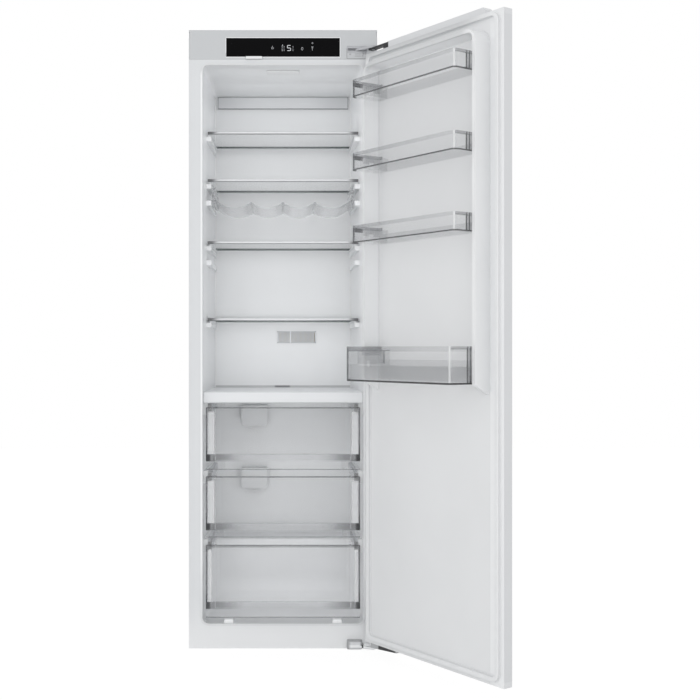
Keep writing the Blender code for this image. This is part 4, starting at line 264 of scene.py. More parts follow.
wrapper, start, place = blank("white_baked_paint")
*_, z = place.axes()
tone = noise(start, place, 3.0, 3.0).ease(0.3, 0.7).mix((0.705, 0.72, 0.735), (0.72, 0.735, 0.75))
# painted light: the wrapper is paler towards the floor, standing in for light bounced up from it
tone = z.ease(0.16, 0.0).mix(tone, (0.83, 0.84, 0.85))
surface(start, tone, 0.32 + 0.08 * noise(start, place, 40.0), noise(start, place, 420.0))
finish_node(wrapper, "outer_case")
finish_node(painted("door_baked_paint", (0.66, 0.67, 0.685), 0.36), "door_skin")

zinc, start, place = blank("zinc_coated_steel")
flakes = start.add("TexVoronoi", {"feature": "F1"}, {"Vector": place, "Scale": 70.0}, "Color")
flake = start.add("SeparateColor", values={0: flakes})
tone = flake.mix((0.50, 0.51, 0.52), (0.62, 0.63, 0.64))
surface(start, tone, 0.34 + 0.16 * flake, noise(start, place, 260.0), Metallic=0.85)
finish_node(zinc, "rear_panel", "base_tray")

foam, start, place = blank("cream_foam")
cells = start.add("TexVoronoi", {"feature": "SMOOTH_F1"}, {"Vector": place, "Scale": 900.0})
tone = noise(start, place, 12.0, 4.0).mix((0.70, 0.62, 0.42), (0.83, 0.77, 0.60))
surface(start, tone, 0.88, cells, 0.0002)
finish_node(foam, "cabinet_insulation", "door_insulation")


# Food room
# The liner is one sheet of white polystyrene drawn into a mould, satin inside, with a rolled lip on the
# front frame; the back cover with its outlet, its intake and the two air cowls is clipped into it.
cabinet_front = -0.2725
room_floor = 0.080
ceiling_low, ceiling_high = 1.664, 1.672
liner, start, place = blank("drawn_liner")
x, y, z = place.axes()
tone = noise(start, place, 4.0, 3.0).ease(0.3, 0.7).mix((0.785, 0.795, 0.805), (0.805, 0.815, 0.825))
# painted shadow: the front of the floor is darker, where the lowest drawer's shadow falls
front_floor_painted_shade = z.ease(room_floor + 0.010, room_floor) * y.ease(-0.195, -0.205)
tone = front_floor_painted_shade.mix(tone, (0.62, 0.63, 0.64))
# painted light: the upper side walls are paler, standing in for the light that falls on them
upper_sides_painted_light = abs(x).ease(0.200, 0.212) * z.between(1.15, 1.45, ceiling_low, ceiling_high)
tone = upper_sides_painted_light.mix(tone, (0.87, 0.88, 0.89))
# painted shade: the ceiling is darker than the walls
ceiling_painted_shade = z.ease(ceiling_low, ceiling_high) * y.ease(cabinet_front + 0.0025, cabinet_front + 0.0045)
tone = ceiling_painted_shade.mix(tone, (0.725, 0.735, 0.745))
# painted highlight: the rolled lip is pale on its upright runs and darker at its top and foot
lip_painted_highlight = z.between(0.09, 0.30, 1.64, 1.66).mix((0.70, 0.71, 0.72), (0.86, 0.87, 0.88))
tone = y.ease(cabinet_front + 0.0003, cabinet_front - 0.0003).mix(tone, lip_painted_highlight)
gloss = 0.30 + 0.08 * noise(start, place, 30.0)
surface(start, tone, gloss, noise(start, place, 300.0), 0.000015)
finish_node(liner, "inner_liner")

cover, start, place = blank("back_cover_plastic")
x, y, z = place.axes()
tone = noise(start, place, 3.0, 3.0).ease(0.3, 0.7).mix((0.755, 0.765, 0.775), (0.77, 0.78, 0.79))
# painted shade on a band in the middle of the cover, painted light on the band between the divider and the
# lowest shelf
middle_painted_shade = z.between(0.96, 1.06, 1.25, 1.42)
tone = middle_painted_shade.mix(tone, (0.735, 0.745, 0.755))
lower_painted_light = z.between(0.735, 0.740, 0.93, 0.945)
tone = lower_painted_light.mix(tone, (0.80, 0.81, 0.82))
cowl_front, cowl_root = 0.0820, 0.1130
# painted shade: the cowls' faces and sides are darker than the cover round them
cowl_side_painted_shade = y.between(cowl_front, cowl_front + 0.0030, cowl_root - 0.0030, cowl_root)
cowl_painted_shade = y.ease(cowl_root, cowl_root - 0.0030) * 0.62 | cowl_side_painted_shade * 0.50
tone = cowl_painted_shade.mix(tone, (0.50, 0.51, 0.52))
# painted shadow: a dark line on the cover just above the divider, deeper at a notch in its middle
divider_painted_shadow = z.between(0.7330, 0.7355, 0.7400, 0.7420)
notch_painted_shadow = abs(x + 0.002).ease(0.028, 0.020)
tone = (divider_painted_shadow * (0.35 + 0.45 * notch_painted_shadow)).mix(tone, (0.10, 0.10, 0.11))
# painted shadow: a soft dark band on the cover just above the lowest shelf
shelf_painted_shadow = z.between(0.9440, 0.9450, 0.9500, 0.9660)
tone = (shelf_painted_shadow * 0.30).mix(tone, (0.20, 0.20, 0.21))
surface(start, tone, 0.30 + 0.08 * noise(start, place, 40.0), noise(start, place, 300.0))
finish_node(cover, "back_cover")
finish_node(painted("switch_plastic", (0.86, 0.87, 0.88), 0.3, 600.0), "door_switch")

strip, start, place = blank("silver_strip")
x, _, z = place.axes()
streak = noise(start, spread(place, (20.0, 400.0, 900.0)), 1.0, 2.0)
# painted shade along the strip's edges, and the strip darker towards both ends, leaving a painted highlight
# in its middle
foot, top = z.ease(1.6310, 1.6290), z.ease(1.6638, 1.6650)
outline_painted_shade = foot | top * 0.5 | abs(x).ease(0.2065, 0.2080)
tone = streak.mix((0.68, 0.69, 0.705), (0.74, 0.75, 0.765))
tone = (abs(x + 0.01).ease(0.06, 0.21) * 0.35).mix(tone, (0.44, 0.45, 0.47))
tone = outline_painted_shade.mix(tone, (0.25, 0.26, 0.275))
surface(start, tone, 0.42, streak, 0.00001, Metallic=0.15)
finish_node(strip, "fan_cover")

lens, start, place = blank("frosted_lens")
x, *_ = place.axes()
rib_turns = 900.0
surface(start, (0.72, 0.73, 0.735), 0.5, (x * rib_turns).sine(), 0.0001)
finish_node(lens, "ceiling_light")


def shell_mesh(name, points, faces, smooth=True):
    """An object at the origin from the points and faces of closed surfaces, all turned outwards by the sign
    of the volume that they enclose: a sixth of the sum of a.(b x c) over the triangles of their fans."""
    points = np.asarray(points, float).reshape(-1, 3)
    faces = np.asarray(faces)
    first, *others = (points[column] for column in faces.T)
    volume = sum((first * np.cross(one, two)).sum() for one, two in zip(others, others[1:]))
    return sheet_mesh(name, points, faces if volume > 0 else faces[:, ::-1], smooth)


def skin(stacks, count):
    """Quads between neighbouring rings of a stack: from each point of a ring to the next one round it, and to
    the two beside them on the next ring."""
    row = np.arange(stacks - 1)[:, None] * count
    column = np.arange(count)
    following = np.roll(column, -1)
    quads = [row + column, row + following, row + count + following, row + count + column]
    return np.stack(quads, -1).reshape(-1, 4)


def bars(outline, places, ends, axes):
    """Points and quads of straight bars with a four-cornered outline: the corners lie in the plane of the
    first two axes, moved to every place, and run from one end to the other along the third axis."""
    outline = np.asarray(outline, float)[None, None, :, :] + np.asarray(places, float)[:, None, None, :]
    count = len(places)
    points = np.zeros((count, 2, 4, 3))
    points[..., axes[0]] = outline[..., 0]
    points[..., axes[1]] = outline[..., 1]
    points[..., axes[2]] = np.asarray(ends, float)[None, :, None]
    faces = np.vstack([skin(2, 4), [3, 2, 1, 0], [4, 5, 6, 7]])
    return points.reshape(-1, 3), (faces[None] + 8 * np.arange(count)[:, None, None]).reshape(-1, 4)


def joined(*parts):
    """One array of points and one of quads from several."""
    starts = np.cumsum([0] + [len(points) for points, _ in parts[:-1]])
    return np.vstack([points for points, _ in parts]), np.vstack([f + s for (_, f), s in zip(parts, starts)])


# The intake is a moulded grille in two windows: slanting upright blades behind a flat frame with one post.
(grille_left, grille_front, grille_low), (grille_right, grille_back, grille_high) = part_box("intake_grille")
half_frame = 0.0015
shade_reach = 0.0034
post = 0.0241
blade_pitch = 0.0040
blade = [(-0.0016, grille_front + 0.0008), (-0.0008, grille_front + 0.0008),
         (0.0020, grille_back - 0.0002), (0.0012, grille_back - 0.0002)]
blade_places = np.arange(grille_left + 0.0050, grille_right - 0.0040, blade_pitch)
upright = [(-half_frame, grille_front), (half_frame, grille_front),
           (half_frame, grille_back), (-half_frame, grille_back)]
level = [(grille_front, -half_frame), (grille_back, -half_frame),
         (grille_back, half_frame), (grille_front, half_frame)]
points, faces = joined(
    bars(blade, [(across, 0.0) for across in blade_places],
         (grille_low + 0.001, grille_high - 0.001), (0, 1, 2)),
    bars(upright, [(grille_left + half_frame, 0.0), (post, 0.0), (grille_right - half_frame, 0.0)],
         (grille_low, grille_high), (0, 1, 2)),
    bars(level, [(0.0, grille_low + half_frame), (0.0, grille_high - half_frame)],
         (grille_left, grille_right), (1, 2, 0)),
)
grille = shell_mesh("intake_blades", points, faces, False)
rounding = grille.modifiers.new("soft_edges", "BEVEL")
rounding.width = 0.0003
rounding.segments = 2
moulded, start, place = blank("intake_plastic")
x, _, z = place.axes()
# painted light on the post, and painted shade along the grille's top and foot
painted_light_post = abs(x - post).ease(0.0022, 0.0016)
painted_shade_ends = z.ease(grille_low + shade_reach, grille_low + shade_reach - 0.0006)
painted_shade_ends = painted_shade_ends | z.ease(grille_high - shade_reach, grille_high - shade_reach + 0.0006)
tone = noise(start, place, 40.0).mix((0.70, 0.71, 0.72), (0.75, 0.76, 0.77))
tone = (painted_shade_ends * 0.35).mix(tone, (0.30, 0.31, 0.32))
tone = painted_light_post.mix(tone, (0.84, 0.85, 0.86))
surface(start, tone, 0.4 + 0.08 * noise(start, place, 90.0), noise(start, place, 600.0))
grille.data.materials.append(moulded)
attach(grille, "cabinet")
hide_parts("intake_grille")

# Two rounded white pads on the floor, over the pegs, stop the lowest drawer from sagging.
pad_height = 0.0115
half_foot, half_head = 0.0150, 0.0118
pad = [(-half_foot, 0.0), (half_foot, 0.0), (half_head, pad_height), (-half_head, pad_height)]
pad_x, floor_top = 0.1560, 0.0700
points, faces = bars(pad, [(-pad_x, floor_top), (pad_x, floor_top)], (-0.2670, -0.2360), (0, 2, 1))
pads = shell_mesh("floor_pads", points, faces, False)
rounding = pads.modifiers.new("soft_edges", "BEVEL")
rounding.width = 0.0026
rounding.segments = 4
pads.data.materials.append(painted("pad_plastic", (0.88, 0.89, 0.90), 0.35, 500.0))
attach(pads, "cabinet")


# Fascia and touch panel
# A white moulded head cover with a thin raised frame round a black gloss strip; under the gloss lie pale
# printed signs and one lit figure of the display.
finish_node(painted("fascia_plastic", (0.58, 0.595, 0.61), 0.40, 520.0), "control_fascia")

gloss_black, start, place = blank("black_touch_gloss")
haze = noise(start, place, 9.0, 3.0)
tone = haze.mix((0.0015, 0.0015, 0.0018), (0.0025, 0.0025, 0.0030))
surface(start, tone, 0.16 + 0.08 * haze, **{"Specular IOR Level": 0.06})
finish_node(gloss_black, "control_panel")


def beads(paths, width, front, thick):
    """Flat beads along paths of (x, z) points on the cabinet's front: at each point the section is a
    rectangle, as wide as given across the path and as thick as given behind the front plane."""
    points, faces = [], []
    for path in paths:
        line = np.asarray(path, float)
        along = np.gradient(line, axis=0)
        along /= np.linalg.norm(along, axis=1)[:, None]
        side = np.column_stack([-along[:, 1], along[:, 0]]) * width / 2
        rings = np.zeros((len(line), 4, 3))
        rings[..., 0::2] = np.stack([line + side, line - side, line - side, line + side], 1)
        rings[..., 1] = front + thick * np.array([0, 0, 1, 1])
        base = sum(len(block) for block in points)
        last = (len(line) - 1) * 4
        ends = [[3, 2, 1, 0], [last, last + 1, last + 2, last + 3]]
        points.append(rings.reshape(-1, 3))
        faces.append(np.vstack([skin(len(line), 4), ends]) + base)
    return np.vstack(points), np.vstack(faces)


def arc(x, z, radius, start_turn, end_turn, count=25):
    """Points round a circle in the panel's plane, between two turns in degrees."""
    turns = np.radians(np.linspace(start_turn, end_turn, count))
    return np.column_stack([x + radius * np.cos(turns), z + radius * np.sin(turns)])


# The signs are a ring with a stem, an oval, four rows of three dashes, and an arrow under a small ring.
panel_low, panel_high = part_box("control_panel")
mark_thick = 0.00012
mark_front = panel_low[1] - mark_thick
ring = 0.0026
strokes = [
    arc(-0.0301, 1.7205, ring, 0, 360), [(-0.0301, 1.7205 + ring), (-0.0301, 1.7262)],
    arc(0.0550, 1.7200, 0.0022, 0, 180), arc(0.0550, 1.7170, 0.0022, 180, 360),
    [(0.0528, 1.7170), (0.0528, 1.7200)], [(0.0572, 1.7170), (0.0572, 1.7200)],
    [(0.0812, 1.7240), (0.0872, 1.7240)], [(0.0842, 1.7240), (0.0842, 1.7135)],
    [(0.0822, 1.7215), (0.0842, 1.7190)], [(0.0862, 1.7215), (0.0842, 1.7190)],
    arc(0.0842, 1.7345, 0.0016, 0, 360),
]
dashes = [(-0.0040, 0.0000), (0.0018, 0.0046), (0.0272, 0.0300)]
for level in (1.7250, 1.7210, 1.7170, 1.7130):
    strokes += [[(left, level), (right, level)] for left, right in dashes]
points, faces = beads(strokes, 0.0010, mark_front, mark_thick)
signs = shell_mesh("panel_signs", points, faces, False)
figure = [
    [(0.0215, 1.7280), (0.0130, 1.7280)], [(0.0126, 1.7276), (0.0126, 1.7210)],
    [(0.0130, 1.7206), (0.0210, 1.7206)], [(0.0217, 1.7202), (0.0217, 1.7136)],
    [(0.0210, 1.7132), (0.0125, 1.7132)], [(-0.0030, 1.7285), (0.0000, 1.7285)],
]
points, faces = beads(figure, 0.0016, mark_front, mark_thick)
display = shell_mesh("panel_display", points, faces, False)
ink, start, place = blank("pale_print")
surface(start, noise(start, place, 900.0).mix((0.42, 0.43, 0.45), (0.52, 0.53, 0.55)), 0.4)
signs.data.materials.append(ink)
glow_ink, start, place = blank("lit_figure")
tone = noise(start, place, 700.0).mix((0.60, 0.62, 0.64), (0.72, 0.74, 0.76))
surface(start, tone, 0.35, **{"Emission Color": tone, "Emission Strength": 0.15})
display.data.materials.append(glow_ink)
for item in (signs, display):
    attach(item, "cabinet")

# The frame is a thin bead round the panel, with a gap in its lower run; its paint, paler than the fascia, is
# a painted highlight.
frame_gap = 0.0016
left, right = panel_low[0] - frame_gap, panel_high[0] + frame_gap
low, high = panel_low[2] - frame_gap, panel_high[2] + frame_gap
border = [
    [(left, low + 0.012), (left, high - 0.001)], [(left, high), (right, high)],
    [(right, high - 0.001), (right, low + 0.001)], [(right, low), (-0.0575, low)],
    [(-0.1085, low), (left, low)],
]
points, faces = beads(border, 0.0022, cabinet_front - 0.0004, 0.0006)
rim = shell_mesh("panel_frame", points, faces, False)
rim.data.materials.append(painted("panel_frame_painted_highlight", (0.84, 0.85, 0.86), 0.3, 700.0))
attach(rim, "cabinet")


# Shelves
# Toughened glass panes with a green edge lie in grey moulded frames: a slim nose in front, a bar behind
# that keeps jars off the back wall, and runners along the sides that rest on the liner's ribs.
glass, start, place = blank("shelf_glass")
x, y, _ = place.axes()
facing = start.add("LayerWeight", values={"Blend": 0.35}, out="Facing")
pane_edge = abs(x).ease(0.2118, 0.2132) | y.ease(-0.1580, -0.1588) | y.ease(0.0818, 0.0828)
tone = pane_edge.mix((0.42, 0.435, 0.445), (0.24, 0.30, 0.29))
opaque = 0.05 + 0.05 * facing + 0.5 * pane_edge
smear = noise(start, place, 18.0, 3.0)
surface(start, tone, 0.04 + 0.05 * smear, Alpha=opaque, IOR=1.5)
for number in range(1, 5):
    finish_node(glass, f"shelf_glass_{number}")
    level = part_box(f"shelf_glass_{number}")[1][2]
    trim, start, place = blank(f"shelf_trim_{number}")
    x, y, z = place.axes()
    rise = z - level
    outward = abs(x).ease(0.05, 0.20)
    # painted shade: a near black line on the rear bar and dark lines on the nose above and below the glass;
    # painted reflections darken the nose's ends
    rear_bar = y.ease(0.0785, 0.0792) * rise.between(-0.0047, -0.0039, 0.0023, 0.0031)
    nose = y.ease(-0.1590, -0.1600)
    upper_painted_shade = nose * rise.ease(0.0012, 0.0022) * 0.40
    lower_painted_shade = nose * rise.between(-0.0068, -0.0058, -0.0034, -0.0024) * 0.50
    if number == 4:
        lower_painted_shade = nose * rise.ease(-0.0010, -0.0062) * abs(x).ease(0.209, 0.203) * (0.60 + 0.30 * outward)
    nose_end_painted_reflection = nose * abs(x).ease(0.185, 0.214) * rise.ease(-0.0066, -0.0056) * 0.82
    painted_shade_and_reflection = rear_bar * (0.80 + 0.20 * outward) | upper_painted_shade | lower_painted_shade | nose_end_painted_reflection
    tone = noise(start, place, 60.0).mix((0.66, 0.67, 0.685), (0.72, 0.73, 0.745))
    tone = painted_shade_and_reflection.mix(tone, (0.012, 0.012, 0.015))
    surface(start, tone, 0.36 + 0.1 * noise(start, place, 25.0), noise(start, place, 650.0), 0.00003)
    finish_node(trim, f"shelf_frame_{number}")


# Bottle rack and divider
# The cradle is one clear moulding drawn into four round troughs, its end flanges hang on two ribs, and a
# curled clear sheet stands at each end; the divider over the drawers is a white moulding with a deep lip.
def clear_wall(start, colour, alpha, glance, painted_shade_and_reflection, painted_shade_alpha, ripple):
    """Clear plastic: thin flat on, deeper at a glance, and near black where the mask paints shade and
    reflection.
    """
    facing = start.add("LayerWeight", values={"Blend": 0.3}, out="Facing")
    tone = painted_shade_and_reflection.mix(colour, (0.02, 0.021, 0.024))
    opaque = (alpha + glance * facing) * (1 - painted_shade_and_reflection) + painted_shade_alpha * painted_shade_and_reflection
    surface(start, tone, 0.12, ripple, 0.00003, Alpha=opaque & 1.0)


(cradle_left, cradle_front, _), (cradle_right, cradle_back, cradle_top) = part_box("bottle_rack")
cradle_sheet = 0.0026
flange_level = cradle_top - cradle_sheet / 2
trough_floor = 1.2765
trough_pitch = 0.0945
cusp_rise = 0.016
outer_middle = 0.146
flange_start = 0.203


def trough_level(across):
    """Level of the sheet's middle: parabolas between upright cusps, the outer two wider and rising as far as
    the level flanges at the ends."""
    away = np.abs(across)
    half = trough_pitch / 2
    beyond = away - outer_middle
    inner = cusp_rise * ((away - half) / half) ** 2
    inward = cusp_rise * (beyond / (outer_middle - trough_pitch)) ** 2
    outward = (flange_level - trough_floor) * (beyond / (flange_start - outer_middle)) ** 2
    rise = np.where(away < trough_pitch, inner, np.where(beyond < 0, inward, outward))
    return np.minimum(trough_floor + rise, flange_level)


def ribbons(rings):
    """Points and quads of the skin over a stack of thin closed outlines, each of which runs out along one
    face of a sheet and back along the other; both end outlines are filled from face to face."""
    stacks, count = rings.shape[:2]
    step = np.arange(count // 2 - 1)
    cap = np.column_stack([step + 1, step, count - 1 - step, count - 2 - step])
    faces = np.vstack([skin(stacks, count), cap, cap[:, ::-1] + (stacks - 1) * count])
    return rings.reshape(-1, 3), faces


def cradle_shell(columns=233, rows=65):
    """The sheet over its width and depth: the trough curve offset both ways along its normal by half the
    thickness, which swells to beads at the front and back edges and to three fine ridges near the front."""
    across = np.linspace(cradle_left, cradle_right, columns)
    share = np.linspace(0.0, 1.0, rows)
    depth = cradle_front + (cradle_back - cradle_front) * share ** 1.8
    middle = trough_level(across)
    slope = np.gradient(middle, across)
    normal = np.column_stack([-slope, np.ones(columns)]) / np.hypot(slope, 1.0)[:, None]
    bead = np.exp(-((depth - cradle_front) / 0.004) ** 2) + np.exp(-((cradle_back - depth) / 0.004) ** 2)
    ridges = sum(np.exp(-((depth - cradle_front - away) / 0.0015) ** 2) for away in (0.014, 0.026, 0.038))
    half = cradle_sheet / 2 * (1.0 + 0.5 * bead + 0.5 * ridges)
    flat = np.clip((flange_level - middle) / 0.004, 0.0, 1.0)
    offset = cradle_sheet / 2 + (half[:, None] - cradle_sheet / 2) * flat[None, :]
    back = np.repeat(depth[:, None], columns, 1)
    upper, lower = (
        np.stack([across + way * offset * normal[:, 0], back, middle + way * offset * normal[:, 1]], -1)
        for way in (1, -1)
    )
    rings = np.concatenate([upper, lower[:, ::-1]], axis=1)
    rings[..., 0] = np.clip(rings[..., 0], cradle_left, cradle_right)
    return ribbons(rings)


cradle_piece = shell_mesh("bottle_cradle", *cradle_shell())
cradle, start, place = blank("clear_cradle")
x, y, z = place.axes()
facing = start.add("LayerWeight", values={"Blend": 0.3}, out="Facing")
# painted shade on the steep sides of the troughs and along the front edge; painted highlights along the back
# edge and on the cusps
front_edge_painted_shade = y.ease(cradle_front + 0.0035, cradle_front + 0.0015)
back_edge_painted_highlight = y.ease(cradle_back - 0.0040, cradle_back - 0.0015)
cusp_painted_highlight = (abs(x).ease(0.005, 0.001) | abs(abs(x) - trough_pitch).ease(0.005, 0.001)) * z.ease(1.2865, 1.2905)
wave = noise(start, spread(place, (30.0, 8.0, 30.0)), 1.0, 2.0)
steep_painted_shade = z.ease(1.2775, 1.2860)
tone = steep_painted_shade.mix((0.56, 0.57, 0.59), (0.42, 0.43, 0.45))
tone = (front_edge_painted_shade * 0.5).mix(tone, (0.36, 0.37, 0.39))
tone = (back_edge_painted_highlight | cusp_painted_highlight * y.ease(-0.02, 0.06)).mix(tone, (0.86, 0.87, 0.88))
opaque = 0.07 + 0.12 * facing + 0.20 * steep_painted_shade + 0.10 * front_edge_painted_shade + 0.30 * back_edge_painted_highlight + 0.25 * cusp_painted_highlight
surface(start, tone, 0.10, wave, 0.0001, Alpha=opaque & 1.0)
cradle_piece.data.materials.append(cradle)
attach(cradle_piece, "cabinet")
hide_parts("bottle_rack")


def hanger_shell(side, rows=61):
    """A clear upright sheet at one end of the cradle: its middle swings to and fro as a growing sine with
    height, offset both ways along the normal, and the outline is carried back and inwards in five steps."""
    share = np.linspace(0.0, 1.0, rows)
    height = 1.2780 + 0.0600 * share
    middle = 0.2055 + (0.0015 + 0.0030 * share) * np.sin(share * 5.5 * np.pi)
    slope = np.gradient(middle, height)
    normal = np.column_stack([np.ones(rows), -slope]) / np.hypot(slope, 1.0)[:, None]
    half = 0.0011 + 0.0006 * np.cos(share * 11.0 * np.pi)
    one, two = (np.column_stack([middle, height]) + way * half[:, None] * normal for way in (1, -1))
    outline = np.vstack([one, two[::-1]])
    steps = np.arange(5)[:, None]
    rings = np.zeros((len(steps), len(outline), 3))
    rings[..., 0] = side * (outline[:, 0] - 0.0012 * steps)
    rings[..., 1] = cradle_front + 0.0275 * steps
    rings[..., 2] = outline[:, 1]
    return ribbons(rings)


curl, start, place = blank("clear_hanger")
_, y, _ = place.axes()
wave = noise(start, spread(place, (260.0, 20.0, 160.0)), 1.0, 3.0)
front_face_painted_shade = y.ease(cradle_front + 0.0015, cradle_front + 0.0005)
# painted highlights and painted shade: near white and near black streaks along the curls, and a darker front
# face
tone = wave.ease(0.40, 0.60).mix((0.14, 0.145, 0.15), (0.82, 0.83, 0.84))
tone = front_face_painted_shade.mix(tone, (0.30, 0.31, 0.32))
surface(start, tone, 0.10, wave, 0.0002, Alpha=(0.16 + 0.45 * front_face_painted_shade) & 1.0)
for side, word in ((-1, "left"), (1, "right")):
    hanger = shell_mesh(f"cradle_hanger_{word}", *hanger_shell(side))
    hanger.data.materials.append(curl)
    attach(hanger, "cabinet")

finish_node(painted("divider_plastic", (0.74, 0.755, 0.77), 0.33, 420.0), "divider_shelf")


# Drawers and their rails
# Each drawer is one thick clear moulding with a broad front plate; its edges and its rounded floor are
# painted near black, painted shade and reflection of the gaps. Bright zinc-plated rails carry it, one member
# fixed and one sliding. The masks measure up from the tub's floor and down from the plate's head.
drawer_floors = {1: 0.535, 2: 0.336, 3: 0.109}
drawer_heads = {1: 0.690, 2: 0.491, 3: 0.293}
for number in range(1, 4):
    clear, start, place = blank(f"clear_drawer_{number}")
    x, y, z = place.axes()
    lowest = number == 3
    up = z - drawer_floors[number]
    down = z - drawer_heads[number]
    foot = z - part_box(f"drawer_{number}")[0][2]
    wide = abs(x)
    plate = y.ease(-0.2488, -0.2496)
    floor_band = 0.0195
    side_edge = plate * wide.ease(0.2176, 0.2188) * up.ease(-0.001, 0.001)
    side_edge = side_edge * (0.70 + 0.25 * up.ease(0.06, 0.01))
    head_edge = plate * down.between(-0.0034, -0.0026, 0.0008, 0.0016) * 0.70
    if lowest:
        head_edge = head_edge | plate * down.between(-0.0078, -0.0070, -0.0058, -0.0050) * 0.45
    floor_band_painted_shade = up.between(-0.0020, 0.0005, 0.0185, 0.0200) * plate
    floor_band_painted_shade = floor_band_painted_shade * ((0.0 if lowest else 0.06) + 0.50 * wide.ease(0.10, 0.19) + 0.42 * wide.ease(0.207, 0.214))
    crest = abs(up - floor_band).ease(0.0016, 0.0006) * plate * 0.30
    foot_edge = plate * foot.ease(0.0030, 0.0020) * 0.50
    painted_shade_and_reflection = side_edge | head_edge | floor_band_painted_shade | crest | foot_edge
    inside = 0.2050 if lowest else 0.1965
    # painted light: a pale strip by each side of the plate, over the floor band
    strip = plate * wide.between(inside - 0.0020, inside + 0.0035, 0.2150, 0.2180)
    strip = strip * up.ease(floor_band - 0.0005, floor_band + 0.0010) * down.ease(-0.010, -0.014)
    haze = noise(start, spread(place, (4.0, 4.0, 9.0)), 1.0, 3.0)
    ripple = noise(start, spread(place, (14.0, 14.0, 40.0)), 1.0, 2.0)
    tone = strip.mix(haze.mix((0.40, 0.41, 0.43), (0.46, 0.47, 0.49)), (0.84, 0.85, 0.86))
    body = 0.086 - 0.066 * up.ease(0.060, 0.0) if lowest else 0.036
    clear_wall(start, tone, body + 0.30 * strip, 0.05, painted_shade_and_reflection, 0.9, ripple)
    finish_node(clear, f"drawer_{number}")

rail, start, place = blank("plated_rail")
_, y, _ = place.axes()
drawn = noise(start, spread(place, (500.0, 6.0, 500.0)), 1.0, 2.0)
front_end = y.ease(-0.2440, -0.2462)
tone = front_end.mix(drawn.mix((0.60, 0.61, 0.63), (0.72, 0.73, 0.75)), (0.30, 0.305, 0.31))
surface(start, tone, 0.28 + 0.14 * drawn, drawn, 0.00002, Metallic=0.35)
for number in range(1, 4):
    for side in ("left", "right"):
        finish_node(rail, f"rail_fixed_{side}_{number}", f"rail_slide_{side}_{number}")


# Door
# A steel pan closed by a drawn white inner sheet with its raised dike, end caps of moulded plastic and a
# soft magnetic seal pressed into a groove. The masks use the place that each point has on the closed door.
hinge = (0.257, -0.3005)
swing = math.radians(124.25)
hinge_edge = 0.27
seal_plane = -0.2825


def door_axes(place):
    """Distance across from the hinge edge, distance proud of the sealing plane, and height, in metres."""
    shift_x = hinge[0] - (hinge[0] * math.cos(swing) + hinge[1] * math.sin(swing))
    shift_y = hinge[1] - (hinge[1] * math.cos(swing) - hinge[0] * math.sin(swing))
    move = {"Location": (shift_x, shift_y, 0.0), "Rotation": (0.0, 0.0, -swing)}
    x, y, z = place.add("Mapping", values={"Vector": place, **move}).axes()
    return hinge_edge - x, y - seal_plane, z


inner, start, place = blank("door_inner_sheet")
s, p, z = door_axes(place)
tone = noise(start, place, 4.0, 3.0).ease(0.3, 0.7).mix((0.775, 0.785, 0.795), (0.795, 0.805, 0.815))
# painted shade: the panel is darker between the racks
upper = z.between(0.90, 1.50, 1.54, 1.60)
tone = (p.ease(0.003, 0.0) * upper * 0.16).mix(tone, (0.50, 0.51, 0.53))
dike = 0.0500
# painted light: the dike's crest, its near wall and its far wall are paler
crest = p.ease(dike - 0.0014, dike - 0.0002) * s.ease(0.440, 0.465)
near_wall_painted_light = p.between(0.0020, 0.0035, dike - 0.0015, dike - 0.0005) * s.ease(0.080, 0.060)
far_wall_painted_light = s.ease(0.4940, 0.4950) * z.ease(1.72, 1.62)
tone = (crest * 0.5 | far_wall_painted_light * 0.9 | near_wall_painted_light).mix(tone, (0.88, 0.89, 0.90))
# painted shade on the dike's head, and painted light on the panel just under it
head = z.ease(1.6250, 1.6450) * s.ease(0.470, 0.440)
tone = (head * p.ease(0.0300, 0.0440) * 0.60).mix(tone, (0.56, 0.57, 0.58))
head_inner_painted_light = z.between(1.605, 1.635, 1.645, 1.660) * p.ease(0.046, 0.040)
head_inner_painted_light = head_inner_painted_light * s.between(0.080, 0.110, 0.440, 0.460)
tone = (head_inner_painted_light * 0.8).mix(tone, (0.90, 0.91, 0.92))
# painted shade on the flange along the top
flange_painted_shade = z.ease(1.66, 1.69) * s.ease(0.50, 0.36) * p.ease(0.030, 0.020)
tone = (flange_painted_shade * 0.85).mix(tone, (0.58, 0.59, 0.60))
surface(start, tone, 0.32 + 0.08 * noise(start, place, 30.0), noise(start, place, 300.0), 0.000015)
finish_node(inner, "door_liner")
cap_plastic = painted("door_cap_plastic", (0.70, 0.71, 0.725), 0.42, 520.0, 0.00003)
finish_node(cap_plastic, "door_cap_top", "door_cap_bottom")

seal, start, place = blank("soft_seal")
s, p, z = door_axes(place)
# painted shade in the groove, and on the top run as on the flange
groove_painted_shade = p.between(0.0020, 0.0036, 0.0045, 0.0062)
tone = noise(start, place, 30.0).mix((0.78, 0.79, 0.80), (0.84, 0.85, 0.86))
tone = (z.ease(1.66, 1.69) * s.ease(0.52, 0.38) * 0.85).mix(tone, (0.56, 0.57, 0.58))
tone = (groove_painted_shade * 0.3).mix(tone, (0.40, 0.41, 0.42))
surface(start, tone, 0.62, noise(start, place, 800.0), 0.00004)
finish_node(seal, "door_gasket")
